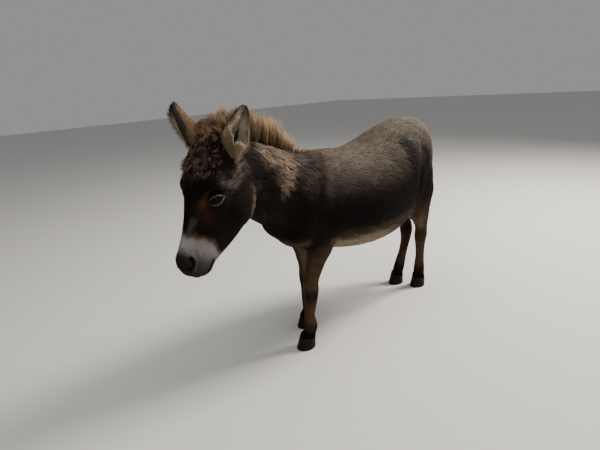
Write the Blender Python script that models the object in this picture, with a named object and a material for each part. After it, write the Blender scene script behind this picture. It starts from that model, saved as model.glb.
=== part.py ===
"""A standing miniature donkey, life size, its head lowered and turned a little to its left.

The flesh is modelled whole: lofted limbs and muscle forms are welded by a voxel remesh,
smoothed and thinned to facets, then parted into the named pieces with thin cuts.  Ears,
mane and tail are trimmed against the body, and the eyes sit in spherical sockets.

Modelling frame, in metres: origin on the ground midway between the fore hooves,
+X the donkey's left, +Y towards its tail, +Z up.  At the end an empty carries every
piece so that the origin lies under the middle of the whole model.
"""

import math

import bmesh
import bpy
import numpy as np
from mathutils import Matrix, Vector

# Driving dimensions, metres
WITHERS_HEIGHT = 0.772
CROUP_HEIGHT = 0.838
BELLY_HEIGHT = 0.330
BARREL_HALF_WIDTH = 0.192
HEAD_LENGTH = 0.405
HEAD_YAW = math.radians(7)
HEAD_PITCH = math.radians(62)
POLL = Vector((0.098, -0.337, 0.849))
EYE_RADIUS = 0.022
EAR_LENGTH = 0.190
EAR_THICKNESS = 0.007
CORONET_HEIGHT = 0.040
CORONET_SLOPE = 0.28
HOOF_HALF_WIDTH = 0.034
HOOF_HALF_LENGTH = 0.041
HOOF_TOE_REACH = 0.010
HOOF_TAPER_WIDTH = 0.86
HOOF_TAPER_LENGTH = 0.80

# How the pieces are parted, and how finely the body is faceted
GAP = 0.0003
VOXEL = 0.006
SMOOTH_PASSES = 12
BODY_TRIANGLES = 4800

LEFT = 1
RIGHT = -1

# Where each leg's joints stand fore and aft; x is the distance from the middle
FORE_LEGS = {
    "left": {"side": LEFT, "x": 0.065, "hoof": -0.030, "knee": 0.006, "elbow": 0.060},
    "right": {"side": RIGHT, "x": 0.065, "hoof": 0.082, "knee": 0.092, "elbow": 0.085},
}
HIND_LEGS = {
    "left": {"side": LEFT, "x": 0.050, "hoof": 0.730, "hock": 0.748},
    "right": {"side": RIGHT, "x": 0.050, "hoof": 0.686, "hock": 0.765},
}

# Eye centres in the head's own frame: left, out of the forehead, towards the nose
EYES = {
    "eye_left": (0.058, 0.006, 0.168),
    "eye_right": (-0.058, 0.006, 0.168),
}

# Ears: root, tip, the way the hollow faces, and the half width of the leaf
EARS = {
    "ear_left": ((0.118, -0.330, 0.798), (0.105, -0.240, 0.962), (0.88, -0.46, 0.10), 0.041),
    "ear_right": ((0.060, -0.322, 0.872), (-0.079, -0.396, 0.992), (-0.62, -0.20, -0.75), 0.042),
}

# Where the body is parted: centre, two directions in the plane of the cut, and its spans
CUTS = [
    ((0.004, -0.045, 0.610), (1, 0, 0), (0, 0.40, 0.92), 0.42, 0.44),
    ((0.090, -0.281, 0.750), (0.967, 0.254, 0), (0, -0.17, 0.98), 0.22, 0.34),
    ((0.000, 0.055, 0.352), (1, 0, 0), (0, 1, 0), 0.26, 0.24),
    ((0.000, 0.055, 0.205), (1, 0, 0), (0, 1, 0), 0.26, 0.24),
    ((0.000, 0.715, 0.428), (1, 0, 0), (0, 0.90, 0.436), 0.44, 0.28),
    ((0.000, 0.755, 0.232), (1, 0, 0), (0, 1, 0), 0.26, 0.22),
]

# The middle of each piece of the body, by which it is told apart, and its material
PIECES = {
    "trunk": ((0.000, 0.350, 0.550), "dark_coat"),
    "neck": ((0.040, -0.150, 0.690), "dark_coat"),
    "head": ((0.110, -0.400, 0.730), "dark_coat"),
    "foreleg_upper_left": ((0.065, 0.010, 0.280), "leg_coat"),
    "foreleg_upper_right": ((-0.065, 0.090, 0.280), "leg_coat"),
    "foreleg_lower_left": ((0.065, -0.010, 0.120), "leg_coat"),
    "foreleg_lower_right": ((-0.065, 0.090, 0.120), "leg_coat"),
    "hindleg_upper_left": ((0.060, 0.735, 0.330), "leg_coat"),
    "hindleg_upper_right": ((-0.060, 0.735, 0.330), "leg_coat"),
    "hindleg_lower_left": ((0.050, 0.740, 0.130), "leg_coat"),
    "hindleg_lower_right": ((-0.050, 0.740, 0.130), "leg_coat"),
}

# name: base colour, roughness
MATERIALS = {
    "dark_coat": ((0.040, 0.028, 0.022), 0.80),
    "leg_coat": ((0.130, 0.095, 0.065), 0.80),
    "ear_coat": ((0.220, 0.150, 0.095), 0.80),
    "mane_hair": ((0.120, 0.060, 0.030), 0.75),
    "tail_hair": ((0.030, 0.020, 0.016), 0.75),
    "hoof_horn": ((0.045, 0.040, 0.036), 0.55),
    "eye_ball": ((0.010, 0.006, 0.004), 0.08),
}


# ---------------------------------------------------------------- making meshes

def clear_scene():
    for thing in list(bpy.data.objects):
        bpy.data.objects.remove(thing, do_unlink=True)


def material(name):
    found = bpy.data.materials.get(name)
    if found:
        return found
    colour, roughness = MATERIALS[name]
    made = bpy.data.materials.new(name)
    made.use_nodes = True
    shader = made.node_tree.nodes["Principled BSDF"]
    shader.inputs["Base Color"].default_value = (*colour, 1.0)
    shader.inputs["Roughness"].default_value = roughness
    return made


def link_mesh(name, mesh):
    thing = bpy.data.objects.new(name, mesh)
    bpy.context.scene.collection.objects.link(thing)
    return thing


def new_object(name, vertices, faces):
    mesh = bpy.data.meshes.new(name)
    mesh.from_pydata([tuple(v) for v in vertices], [], faces)
    mesh.update()
    return link_mesh(name, mesh)


def from_bmesh(name, work):
    mesh = bpy.data.meshes.new(name)
    work.to_mesh(mesh)
    work.free()
    return link_mesh(name, mesh)


def face_outward(thing):
    work = bmesh.new()
    work.from_mesh(thing.data)
    bmesh.ops.recalc_face_normals(work, faces=work.faces)
    work.to_mesh(thing.data)
    work.free()
    return thing


def apply_modifiers(thing):
    graph = bpy.context.evaluated_depsgraph_get()
    mesh = bpy.data.meshes.new_from_object(thing.evaluated_get(graph))
    thing.modifiers.clear()
    thing.data = mesh
    return thing


def join(things, name):
    """All the meshes as one object."""
    work = bmesh.new()
    for thing in things:
        work.from_mesh(thing.data)
        bpy.data.objects.remove(thing, do_unlink=True)
    return from_bmesh(name, work)


# ---------------------------------------------------------------- lofts and forms

def curve_through(rows, steps):
    """Catmull-Rom rows between the given rows, `steps` to each interval."""
    rows = np.asarray(rows, float)
    ends = np.vstack([2 * rows[0] - rows[1], rows, 2 * rows[-1] - rows[-2]])
    out = []
    for i in range(1, len(ends) - 2):
        before, start, end, after = ends[i - 1:i + 3]
        for step in range(steps):
            t = step / steps
            out.append(0.5 * (2 * start + (end - before) * t
                              + (2 * before - 5 * start + 4 * end - after) * t ** 2
                              + (3 * start - before - 3 * end + after) * t ** 3))
    out.append(rows[-1])
    return np.array(out)


def superellipse(segments, power):
    """Unit ring of (across, up) pairs; power 2 is a circle, more is boxier."""
    angles = np.linspace(0, 2 * math.pi, segments, endpoint=False)
    cos, sin = np.cos(angles), np.sin(angles)
    return np.column_stack([np.sign(cos) * np.abs(cos) ** (2 / power),
                            np.sign(sin) * np.abs(sin) ** (2 / power)])


def skinned(name, vertices, segments):
    """A closed tube over consecutive rings of `segments` vertices."""
    rings = len(vertices) // segments
    faces = []
    for ring in range(rings - 1):
        for k in range(segments):
            a = ring * segments + k
            b = ring * segments + (k + 1) % segments
            faces.append((a, b, b + segments, a + segments))
    faces.append(tuple(reversed(range(segments))))
    faces.append(tuple((rings - 1) * segments + k for k in range(segments)))
    return face_outward(new_object(name, vertices, faces))


def limb(name, rows, steps=4, segments=24):
    """Loft along a path; each row is x, y, z, half width across, half depth."""
    rows = curve_through(rows, steps)
    across = Vector((1, 0, 0))
    vertices = []
    for i, row in enumerate(rows):
        centre = Vector(row[:3])
        ahead = Vector(rows[min(i + 1, len(rows) - 1), :3])
        behind = Vector(rows[max(i - 1, 0), :3])
        along = (ahead - behind).normalized()
        side = (across - along * across.dot(along)).normalized()
        up = along.cross(side)
        for s, u in superellipse(segments, 2.0):
            vertices.append(centre + side * (s * row[3]) + up * (u * row[4]))
    return skinned(name, vertices, segments)


def upright_loft(name, rows, steps, segments, pear):
    """Rings that stand upright across Y; rows are x, y, top, bottom, half width.

    `pear` narrows the top of each ring and widens its bottom by that share.
    """
    vertices = []
    for x, y, top, bottom, half_width in curve_through(rows, steps):
        for s, u in superellipse(segments, 2.2):
            z = (top + bottom) / 2 + u * (top - bottom) / 2
            vertices.append((x + s * half_width * (1 - pear * u), y, z))
    return skinned(name, vertices, segments)


def muscle(name, centre, radii, lean=0, frame=Matrix()):
    """An ellipsoid in `frame`, leaning by some degrees about X."""
    work = bmesh.new()
    bmesh.ops.create_uvsphere(work, u_segments=24, v_segments=14, radius=1.0)
    turn = Matrix.Rotation(math.radians(lean), 4, "X")
    place = frame @ Matrix.Translation(centre) @ turn @ Matrix.Diagonal((*radii, 1))
    bmesh.ops.transform(work, matrix=place, verts=work.verts)
    return from_bmesh(name, work)


def ball(name, centre, radius):
    work = bmesh.new()
    place = Matrix.Translation(centre)
    bmesh.ops.create_uvsphere(work, u_segments=16, v_segments=9, radius=radius, matrix=place)
    return from_bmesh(name, work)


# ---------------------------------------------------------------- the body

def trunk_forms():
    forms = [upright_loft("barrel", [
        (0, -0.110, 0.600, 0.520, 0.030),
        (0, -0.095, 0.650, 0.482, 0.068),
        (0, -0.070, 0.705, 0.446, 0.100),
        (0, -0.030, 0.752, 0.412, 0.130),
        (0, 0.040, WITHERS_HEIGHT, 0.388, 0.148),
        (0, 0.120, 0.766, 0.370, 0.164),
        (0, 0.210, 0.760, 0.348, 0.182),
        (0, 0.300, 0.754, 0.334, BARREL_HALF_WIDTH),
        (0, 0.400, 0.773, BELLY_HEIGHT, BARREL_HALF_WIDTH),
        (0, 0.500, 0.806, 0.342, 0.184),
        (0, 0.590, 0.832, 0.382, 0.170),
        (0, 0.660, CROUP_HEIGHT, 0.440, 0.152),
        (0, 0.718, 0.833, 0.500, 0.132),
        (0, 0.762, 0.812, 0.560, 0.102),
        (0, 0.792, 0.782, 0.620, 0.064),
        (0, 0.806, 0.750, 0.670, 0.028),
    ], steps=4, segments=32, pear=0.07)]
    for side in (LEFT, RIGHT):
        forms.append(muscle("shoulder", (side * 0.076, 0.014, 0.590), (0.066, 0.110, 0.165), lean=-18))
        forms.append(muscle("haunch", (side * 0.074, 0.637, 0.580), (0.080, 0.130, 0.210), lean=6))
    return forms


def neck_forms():
    return [limb("neck", [
        (0.000, 0.070, 0.600, 0.120, 0.150),
        (0.008, -0.020, 0.628, 0.112, 0.150),
        (0.028, -0.120, 0.672, 0.088, 0.136),
        (0.056, -0.210, 0.722, 0.072, 0.118),
        (0.082, -0.280, 0.768, 0.064, 0.096),
        (0.100, -0.340, 0.800, 0.050, 0.060),
    ], segments=28)]


def head_frame():
    """The head's matrix: local X to its left, Y out of the forehead, Z towards the nose."""
    level = Vector((math.sin(HEAD_YAW), -math.cos(HEAD_YAW), 0))
    left = Vector((math.cos(HEAD_YAW), math.sin(HEAD_YAW), 0))
    up = Vector((0, 0, 1))
    nose = level * math.cos(HEAD_PITCH) - up * math.sin(HEAD_PITCH)
    brow = level * math.sin(HEAD_PITCH) + up * math.cos(HEAD_PITCH)
    turn = Matrix((left, brow, nose)).transposed().to_4x4()
    return Matrix.Translation(POLL) @ turn


def skull(frame):
    """Loft down the head; rows are distance from the poll, brow line, jaw line, half width."""
    rows = curve_through([
        (-0.030, 0.040, -0.050, 0.038),
        (0.000, 0.068, -0.085, 0.058),
        (0.050, 0.088, -0.125, 0.072),
        (0.100, 0.090, -0.150, 0.080),
        (0.150, 0.076, -0.160, 0.077),
        (0.200, 0.060, -0.162, 0.068),
        (0.250, 0.048, -0.146, 0.056),
        (0.300, 0.042, -0.118, 0.045),
        (0.345, 0.040, -0.090, 0.041),
        (0.380, 0.028, -0.074, 0.036),
        (HEAD_LENGTH, 0.004, -0.052, 0.024),
    ], 4)
    segments = 28
    vertices = []
    for along, brow, jaw, half_width in rows:
        for s, u in superellipse(segments, 2.3):
            height = (brow + jaw) / 2 + u * (brow - jaw) / 2
            narrowing = 1 - 0.16 * max(-u, 0) - 0.10 * max(u, 0)
            vertices.append(frame @ Vector((s * half_width * narrowing, height, along)))
    return skinned("skull", vertices, segments)


def head_forms(frame):
    forms = [
        skull(frame),
        muscle("forelock_bed", (0, 0.050, 0.060), (0.050, 0.036, 0.060), frame=frame),
        muscle("chin", (0, -0.060, 0.366), (0.030, 0.026, 0.030), frame=frame),
        muscle("upper_lip", (0, -0.014, 0.376), (0.036, 0.036, 0.032), frame=frame),
    ]
    for side in (LEFT, RIGHT):
        forms.append(muscle("brow", (side * 0.054, 0.030, 0.142), (0.032, 0.030, 0.048), frame=frame))
        forms.append(muscle("cheek", (side * 0.040, -0.080, 0.155), (0.037, 0.080, 0.086), frame=frame))
        forms.append(muscle("nostril", (side * 0.020, 0.010, 0.364), (0.021, 0.026, 0.032), frame=frame))
    return forms


def foreleg_forms(leg):
    out = leg["side"]
    x = out * leg["x"]
    hoof, knee, elbow = leg["hoof"], leg["knee"], leg["elbow"]
    return [limb("foreleg", [
        (x + out * 0.014, elbow - 0.010, 0.580, 0.040, 0.070),
        (x + out * 0.018, elbow - 0.002, 0.490, 0.050, 0.078),
        (x + out * 0.011, elbow + 0.002, 0.410, 0.043, 0.060),
        (x + out * 0.004, (elbow + knee) / 2 + 0.004, 0.350, 0.034, 0.045),
        (x, knee + 0.004, 0.275, 0.027, 0.033),
        (x, knee, 0.228, 0.029, 0.032),
        (x, knee - 0.002, 0.190, 0.023, 0.026),
        (x, (knee + hoof) / 2, 0.130, 0.020, 0.023),
        (x, (knee + 2 * hoof) / 3 + 0.010, 0.080, 0.025, 0.029),
        (x, hoof + 0.010, 0.052, 0.024, 0.027),
        (x, hoof, 0.015, 0.030, 0.034),
    ])]


def hindleg_forms(leg):
    out = leg["side"]
    x = out * leg["x"]
    hoof, hock = leg["hoof"], leg["hock"]
    return [
        limb("hindleg", [
            (x + out * 0.030, 0.650, 0.600, 0.040, 0.070),
            (x + out * 0.040, 0.662, 0.520, 0.058, 0.100),
            (x + out * 0.038, 0.672, 0.450, 0.052, 0.084),
            (x + out * 0.020, hock - 0.030, 0.370, 0.036, 0.054),
            (x + out * 0.006, hock - 0.004, 0.310, 0.026, 0.036),
            (x, hock, 0.264, 0.027, 0.038),
            (x, hock - 0.004, 0.222, 0.022, 0.030),
            (x, (hock * 2 + hoof) / 3, 0.160, 0.019, 0.024),
            (x, (hock + hoof * 3) / 4, 0.085, 0.025, 0.030),
            (x, hoof + 0.006, 0.052, 0.024, 0.028),
            (x, hoof, 0.015, 0.030, 0.034),
        ]),
        muscle("hock_point", (x, hock + 0.024, 0.284), (0.014, 0.016, 0.030), lean=-14),
    ]


def welded_body(frame):
    """All the flesh as one smooth, thinned, closed mesh."""
    forms = trunk_forms() + neck_forms() + head_forms(frame)
    for leg in FORE_LEGS.values():
        forms += foreleg_forms(leg)
    for leg in HIND_LEGS.values():
        forms += hindleg_forms(leg)
    body = join(forms, "body")
    weld = body.modifiers.new("weld", "REMESH")
    weld.mode = "VOXEL"
    weld.voxel_size = VOXEL
    smooth = body.modifiers.new("smooth", "SMOOTH")
    smooth.factor = 0.5
    smooth.iterations = SMOOTH_PASSES
    apply_modifiers(body)
    thin = body.modifiers.new("thin", "DECIMATE")
    thin.ratio = BODY_TRIANGLES / sum(len(face.vertices) - 2 for face in body.data.polygons)
    thin.use_collapse_triangulate = True
    return apply_modifiers(body)


# ---------------------------------------------------------------- cutting and parting

def carve(thing, cutter):
    """Subtract the cutter, and remove it."""
    cut = thing.modifiers.new("cut", "BOOLEAN")
    cut.operation = "DIFFERENCE"
    cut.solver = "EXACT"
    cut.object = cutter
    apply_modifiers(thing)
    bpy.data.objects.remove(cutter, do_unlink=True)


def loose_pieces(mesh):
    """The vertex indices of each connected piece, the largest piece first."""
    links = [[] for _ in mesh.vertices]
    for edge in mesh.edges:
        a, b = edge.vertices
        links[a].append(b)
        links[b].append(a)
    seen = [False] * len(links)
    pieces = []
    for start in range(len(links)):
        if seen[start]:
            continue
        seen[start] = True
        stack = [start]
        piece = []
        while stack:
            here = stack.pop()
            piece.append(here)
            for there in links[here]:
                if not seen[there]:
                    seen[there] = True
                    stack.append(there)
        pieces.append(piece)
    return sorted(pieces, key=len, reverse=True)


def piece_object(name, mesh, indices):
    order = {old: new for new, old in enumerate(indices)}
    vertices = [mesh.vertices[i].co for i in indices]
    faces = [[order[i] for i in face.vertices] for face in mesh.polygons if face.vertices[0] in order]
    return new_object(name, vertices, faces)


def trimmed(thing, neighbour):
    """What is left of a piece outside its neighbour, with the gap left free."""
    swollen = link_mesh("swollen", neighbour.data.copy())
    normals = [vertex.normal.copy() for vertex in swollen.data.vertices]
    for vertex, normal in zip(swollen.data.vertices, normals):
        vertex.co += normal * GAP
    carve(thing, swollen)
    name = thing.name
    thing.name = "untrimmed"
    kept = piece_object(name, thing.data, loose_pieces(thing.data)[0])
    bpy.data.objects.remove(thing, do_unlink=True)
    return kept


def slab(centre, along_x, along_y, size_x, size_y):
    """A cutter one gap thick, spanning size_x by size_y about its centre."""
    across = Vector(along_x).normalized()
    up = across.cross(Vector(along_y)).normalized()
    turn = Matrix((across, up.cross(across), up)).transposed().to_4x4()
    work = bmesh.new()
    place = Matrix.Translation(centre) @ turn @ Matrix.Diagonal((size_x, size_y, GAP, 1))
    bmesh.ops.create_cube(work, size=1.0, matrix=place)
    return from_bmesh("slab", work)


def part_body(body):
    """Cut the welded body into its named pieces."""
    for cut in CUTS:
        carve(body, slab(*cut))
    groups = loose_pieces(body.data)
    middles = [sum((body.data.vertices[i].co for i in group), Vector()) / len(group) for group in groups]
    made = {}
    for name, (middle, coat) in PIECES.items():
        nearest = min(range(len(groups)), key=lambda i: (middles[i] - Vector(middle)).length)
        made[name] = piece_object(name, body.data, groups[nearest])
        made[name].data.materials.append(material(coat))
    bpy.data.objects.remove(body, do_unlink=True)
    return made


def trim_at_coronet(lower_leg, leg):
    """End the leg flat, just above the hoof's sloping top."""
    work = bmesh.new()
    work.from_mesh(lower_leg.data)
    point = Vector((leg["side"] * leg["x"], leg["hoof"], CORONET_HEIGHT + GAP))
    slope = Vector((0, CORONET_SLOPE, 1)).normalized()
    whole = work.verts[:] + work.edges[:] + work.faces[:]
    cut = bmesh.ops.bisect_plane(work, geom=whole, plane_co=point, plane_no=slope, clear_inner=True)
    rim = [item for item in cut["geom_cut"] if isinstance(item, bmesh.types.BMEdge)]
    bmesh.ops.holes_fill(work, edges=rim)
    bmesh.ops.triangulate(work, faces=work.faces)
    bmesh.ops.recalc_face_normals(work, faces=work.faces)
    work.to_mesh(lower_leg.data)
    work.free()


# ---------------------------------------------------------------- hooves, eyes, ears and hair

def hoof(name, leg):
    """A flat-soled hoof that widens from the sloping coronet down to the ground."""
    x = leg["side"] * leg["x"]
    y = leg["hoof"]
    segments = 24
    sole = []
    coronet = []
    for s, u in superellipse(segments, 2.0):
        reach = u * HOOF_HALF_LENGTH
        sole.append((x + s * HOOF_HALF_WIDTH, y - HOOF_TOE_REACH + reach, 0))
        top = reach * HOOF_TAPER_LENGTH
        height = CORONET_HEIGHT - CORONET_SLOPE * top
        coronet.append((x + s * HOOF_HALF_WIDTH * HOOF_TAPER_WIDTH, y + top, height))
    made = skinned(name, sole + coronet, segments)
    made.data.materials.append(material("hoof_horn"))
    return made


def socketed_eyes(body, frame):
    """Both eyeballs, each with its socket cut into the body."""
    eyes = []
    for name, place in EYES.items():
        centre = frame @ Vector(place)
        carve(body, ball("socket", centre, EYE_RADIUS + GAP))
        eye = ball(name, centre, EYE_RADIUS)
        eye.data.materials.append(material("eye_ball"))
        eyes.append(eye)
    return eyes


def ear(name, body):
    """A cupped leaf, curled closer round at its root and flatter towards its tip."""
    root, tip, facing, half_base = EARS[name]
    root = Vector(root)
    axis = (Vector(tip) - root).normalized()
    hollow = Vector(facing)
    hollow = (hollow - axis * hollow.dot(axis)).normalized()
    side = axis.cross(hollow)
    lengths = 11  # rows of points from root to tip
    widths = 7  # points across each row
    vertices = []
    for i in range(lengths):
        t = i / (lengths - 1)
        swell = 0.72 + 0.28 * math.sin(math.pi * t / 0.85)
        half_width = max(half_base * swell * (1 - t ** 6) ** 0.5, EAR_THICKNESS / 2)
        curl = math.radians(125 - 75 * t)
        radius = half_width / math.sin(min(curl, math.pi / 2))
        middle = root + axis * (EAR_LENGTH * t) + hollow * (0.012 * math.sin(math.pi * t))
        for j in range(widths):
            turn = curl * (2 * j / (widths - 1) - 1)
            round_the_curl = side * math.sin(turn) + hollow * (1 - math.cos(turn))
            vertices.append(middle + round_the_curl * radius)
    faces = []
    for i in range(lengths - 1):
        for j in range(widths - 1):
            a = i * widths + j
            faces.append((a, a + 1, a + widths + 1, a + widths))
    leaf = new_object(name, vertices, faces)
    wall = leaf.modifiers.new("wall", "SOLIDIFY")
    wall.thickness = EAR_THICKNESS
    wall.offset = 0
    apply_modifiers(leaf)
    leaf = trimmed(face_outward(leaf), body)
    leaf.data.materials.append(material("ear_coat"))
    return leaf


def mane(body, ears):
    """The upright crest from the withers to between the ears."""
    made = upright_loft("mane", [
        (0.000, 0.045, 0.776, 0.755, 0.008),
        (0.000, 0.005, 0.800, 0.755, 0.014),
        (0.004, -0.032, 0.832, 0.765, 0.018),
        (0.012, -0.070, 0.876, 0.775, 0.020),
        (0.032, -0.130, 0.918, 0.785, 0.022),
        (0.055, -0.190, 0.946, 0.800, 0.022),
        (0.070, -0.240, 0.960, 0.815, 0.020),
        (0.082, -0.290, 0.964, 0.830, 0.019),
        (0.090, -0.330, 0.950, 0.840, 0.019),
        (0.096, -0.360, 0.915, 0.840, 0.018),
    ], steps=2, segments=14, pear=0.5)
    for neighbour in [body] + ears:
        made = trimmed(made, neighbour)
    made.data.materials.append(material("mane_hair"))
    return made


def tail(body):
    """Hangs from the croup between the thighs down to the hocks."""
    made = limb("tail", [
        (0.000, 0.750, 0.796, 0.020, 0.018),
        (-0.002, 0.804, 0.770, 0.022, 0.020),
        (-0.006, 0.830, 0.710, 0.021, 0.020),
        (-0.010, 0.832, 0.620, 0.020, 0.019),
        (-0.012, 0.820, 0.520, 0.025, 0.023),
        (-0.013, 0.800, 0.420, 0.030, 0.026),
        (-0.014, 0.786, 0.340, 0.024, 0.021),
        (-0.014, 0.778, 0.285, 0.007, 0.007),
    ], steps=2, segments=12)
    made = trimmed(made, body)
    made.data.materials.append(material("tail_hair"))
    return made


def carry_all(pieces):
    """Parent every piece to an empty that centres the model over the origin."""
    corners = np.array([vertex.co for piece in pieces for vertex in piece.data.vertices])
    middle = (corners.min(axis=0) + corners.max(axis=0)) / 2
    carrier = bpy.data.objects.new("donkey", None)
    carrier.location = (-middle[0], -middle[1], 0)
    bpy.context.scene.collection.objects.link(carrier)
    for piece in pieces:
        piece.parent = carrier
    bpy.context.view_layer.update()


def build():
    clear_scene()
    frame = head_frame()
    body = welded_body(frame)
    eyes = socketed_eyes(body, frame)
    ears = [ear(name, body) for name in EARS]
    hair = [mane(body, ears), tail(body)]
    flesh = part_body(body)
    hooves = []
    for where, legs in (("fore", FORE_LEGS), ("hind", HIND_LEGS)):
        for side, leg in legs.items():
            trim_at_coronet(flesh[f"{where}leg_lower_{side}"], leg)
            hooves.append(hoof(f"hoof_{where}_{side}", leg))
    carry_all(list(flesh.values()) + eyes + ears + hair + hooves)


build()
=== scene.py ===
import math

import bmesh
import bpy
import numpy as np
from mathutils import Matrix, Vector
from mathutils.bvhtree import BVHTree
from mathutils.kdtree import KDTree


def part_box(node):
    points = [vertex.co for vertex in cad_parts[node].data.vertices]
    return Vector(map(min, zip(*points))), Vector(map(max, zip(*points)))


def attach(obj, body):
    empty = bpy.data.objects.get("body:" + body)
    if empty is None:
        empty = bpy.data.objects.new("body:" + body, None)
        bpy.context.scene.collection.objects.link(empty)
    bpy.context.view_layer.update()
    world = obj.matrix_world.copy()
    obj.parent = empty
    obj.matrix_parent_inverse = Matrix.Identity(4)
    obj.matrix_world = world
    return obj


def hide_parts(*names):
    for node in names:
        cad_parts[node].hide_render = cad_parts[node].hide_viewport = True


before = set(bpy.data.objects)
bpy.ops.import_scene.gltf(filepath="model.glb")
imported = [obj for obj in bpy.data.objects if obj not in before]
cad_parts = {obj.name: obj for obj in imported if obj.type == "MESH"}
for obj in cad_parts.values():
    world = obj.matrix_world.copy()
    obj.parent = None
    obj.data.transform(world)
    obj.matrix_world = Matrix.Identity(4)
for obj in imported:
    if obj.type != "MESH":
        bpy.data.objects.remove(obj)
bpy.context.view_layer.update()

# The looks of a standing miniature donkey: one skin welded from the CAD flesh, sculpted at the
# head, and over it a coat of solid tufts, a mane, a tail, ear hair, lashes and whiskers.
# Lengths are in metres.  Places are named in the maker's frame of the solids, whose origin is
# on the ground midway between the fore hooves: +X the donkey's left, +Y its tail, +Z up.

TOE = np.array([0.065, -0.081, 0.0])  # the left fore hoof's toe in the maker's frame
toe_low, toe_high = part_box("hoof_fore_left")
SHIFT = np.array([(toe_low.x + toe_high.x) / 2, toe_low.y, 0.0]) - TOE

HEAD_YAW = math.radians(7)
HEAD_PITCH = math.radians(62)
POLL = np.array([0.098, -0.337, 0.849]) + SHIFT
LEGS = {
    "fore_left": (0.065, -0.030), "fore_right": (-0.065, 0.082),
    "hind_left": (0.050, 0.730), "hind_right": (-0.050, 0.686),
}
FLESH = ["trunk", "neck", "head"] + [
    f"{pair}leg_{part}_{side}" for pair in ("fore", "hind")
    for part in ("upper", "lower") for side in ("left", "right")]

SKIN_VOXEL = 0.0072
SWELL = 0.0006  # closes the hairline gaps between the solids before they are welded
CORONET = 0.037  # the coat starts above this height
HOOF_HALF_LENGTH = 0.041
HOOF_HEIGHT = 0.040
HOOF_LEAN = 0.010  # how far the hoof's top lies behind its sole
TOE_RISE = 0.28  # how steeply its top edge climbs towards the toe
LOCK_SIZE = 0.016  # the coat gathers into locks about this far apart
CLUMP_SIZE = 0.022  # and rises and darkens in clumps of about this size
ROOT_DEPTH = 0.0006  # how deep a tuft's root is sunk in the skin
UV_PATCH = 0.003  # how much of the unwrap each tuft takes


# ---------------------------------------------------------------- numbers and fields

def unit(vectors):
    vectors = np.asarray(vectors, float)
    return vectors / np.maximum(np.linalg.norm(vectors, axis=-1, keepdims=True), 1e-9)


def ease(low, high, value):
    """0 below low, 1 above high, smooth between."""
    t = np.clip((np.asarray(value, float) - low) / (high - low), 0, 1)
    return t * t * (3 - 2 * t)


def bump(distance, reach):
    """1 at no distance, falling smoothly to 0 at the reach."""
    return 1 - ease(0, reach, distance)


def grain(points, size, seed):
    """A smooth random field between about -1 and 1 with features of the given size."""
    waves = np.random.default_rng(seed)
    total = np.zeros(len(points))
    for octave in range(3):
        ways = unit(waves.normal(size=(5, 3))) * (2 * math.pi / size * 1.9 ** octave)
        phases = waves.uniform(0, 2 * math.pi, 5)
        total += np.sin(points @ ways.T + phases).sum(axis=1) / (2.6 * 1.5 ** octave)
    return np.clip(total, -1.6, 1.6) / 1.6


def head_axes():
    """Rows: the head's left, out of its forehead, and towards its nose."""
    level = np.array([math.sin(HEAD_YAW), -math.cos(HEAD_YAW), 0])
    left = np.array([math.cos(HEAD_YAW), math.sin(HEAD_YAW), 0])
    up = np.array([0, 0, 1.0])
    brow = level * math.sin(HEAD_PITCH) + up * math.cos(HEAD_PITCH)
    nose = level * math.cos(HEAD_PITCH) - up * math.sin(HEAD_PITCH)
    return np.array([left, brow, nose])


HEAD = head_axes()


def to_maker(points):
    return points - SHIFT


def to_head(points):
    return (points - POLL) @ HEAD.T


def from_head(points):
    return np.asarray(points, float) @ HEAD + POLL


def headness(local):
    """1 on the head and 0 on the neck and body, for places in the head's frame."""
    return ease(-0.03, 0.03, local[:, 2]) * ease(0.16, 0.11, -local[:, 1])


def folded(points):
    """The places with the right side folded onto the left."""
    return np.column_stack([np.abs(points[:, 0]), points[:, 1:]])


def segment_distance(points, start, end):
    start = np.asarray(start, float)
    along = np.asarray(end, float) - start
    length = max(along @ along, 1e-12)
    t = np.clip((points - start) @ along / length, 0, 1)
    return np.linalg.norm(points - start - t[:, None] * along, axis=1)


def path_distance(points, path):
    return np.min([segment_distance(points, a, b) for a, b in zip(path[:-1], path[1:])], axis=0)


def near(points, path, reach, fray=0.0):
    """1 on the path, falling smoothly to 0 at the reach; fray makes the edge uneven."""
    return bump(path_distance(points, path) + fray, reach)


def along_rows(t, rows, stations):
    """The rows' values at places t between their stations."""
    return np.column_stack([np.interp(t, stations, column) for column in np.array(rows).T])


# ---------------------------------------------------------------- meshes

def put(name, data):
    """A new object in the scene."""
    thing = bpy.data.objects.new(name, data)
    bpy.context.scene.collection.objects.link(thing)
    return thing


def mesh_object(name, vertices, faces):
    """faces is a list of arrays, each of triangles or of quads."""
    mesh = bpy.data.meshes.new(name)
    corners = np.concatenate([np.asarray(part).ravel() for part in faces])
    sizes = np.concatenate([np.full(len(part), np.shape(part)[1]) for part in faces])
    mesh.vertices.add(len(vertices))
    mesh.vertices.foreach_set("co", np.asarray(vertices, np.float32).ravel())
    mesh.loops.add(len(corners))
    mesh.loops.foreach_set("vertex_index", corners.astype(np.int32))
    mesh.polygons.add(len(sizes))
    starts = np.concatenate([[0], np.cumsum(sizes)[:-1]])
    mesh.polygons.foreach_set("loop_start", starts.astype(np.int32))
    mesh.update(calc_edges=True)
    mesh.validate()
    mesh.shade_smooth()
    return put(name, mesh)


def grid(first, second):
    """Every pair of the two sets of values, as two flat arrays."""
    return (part.ravel() for part in np.meshgrid(first, second, indexing="ij"))


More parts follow.
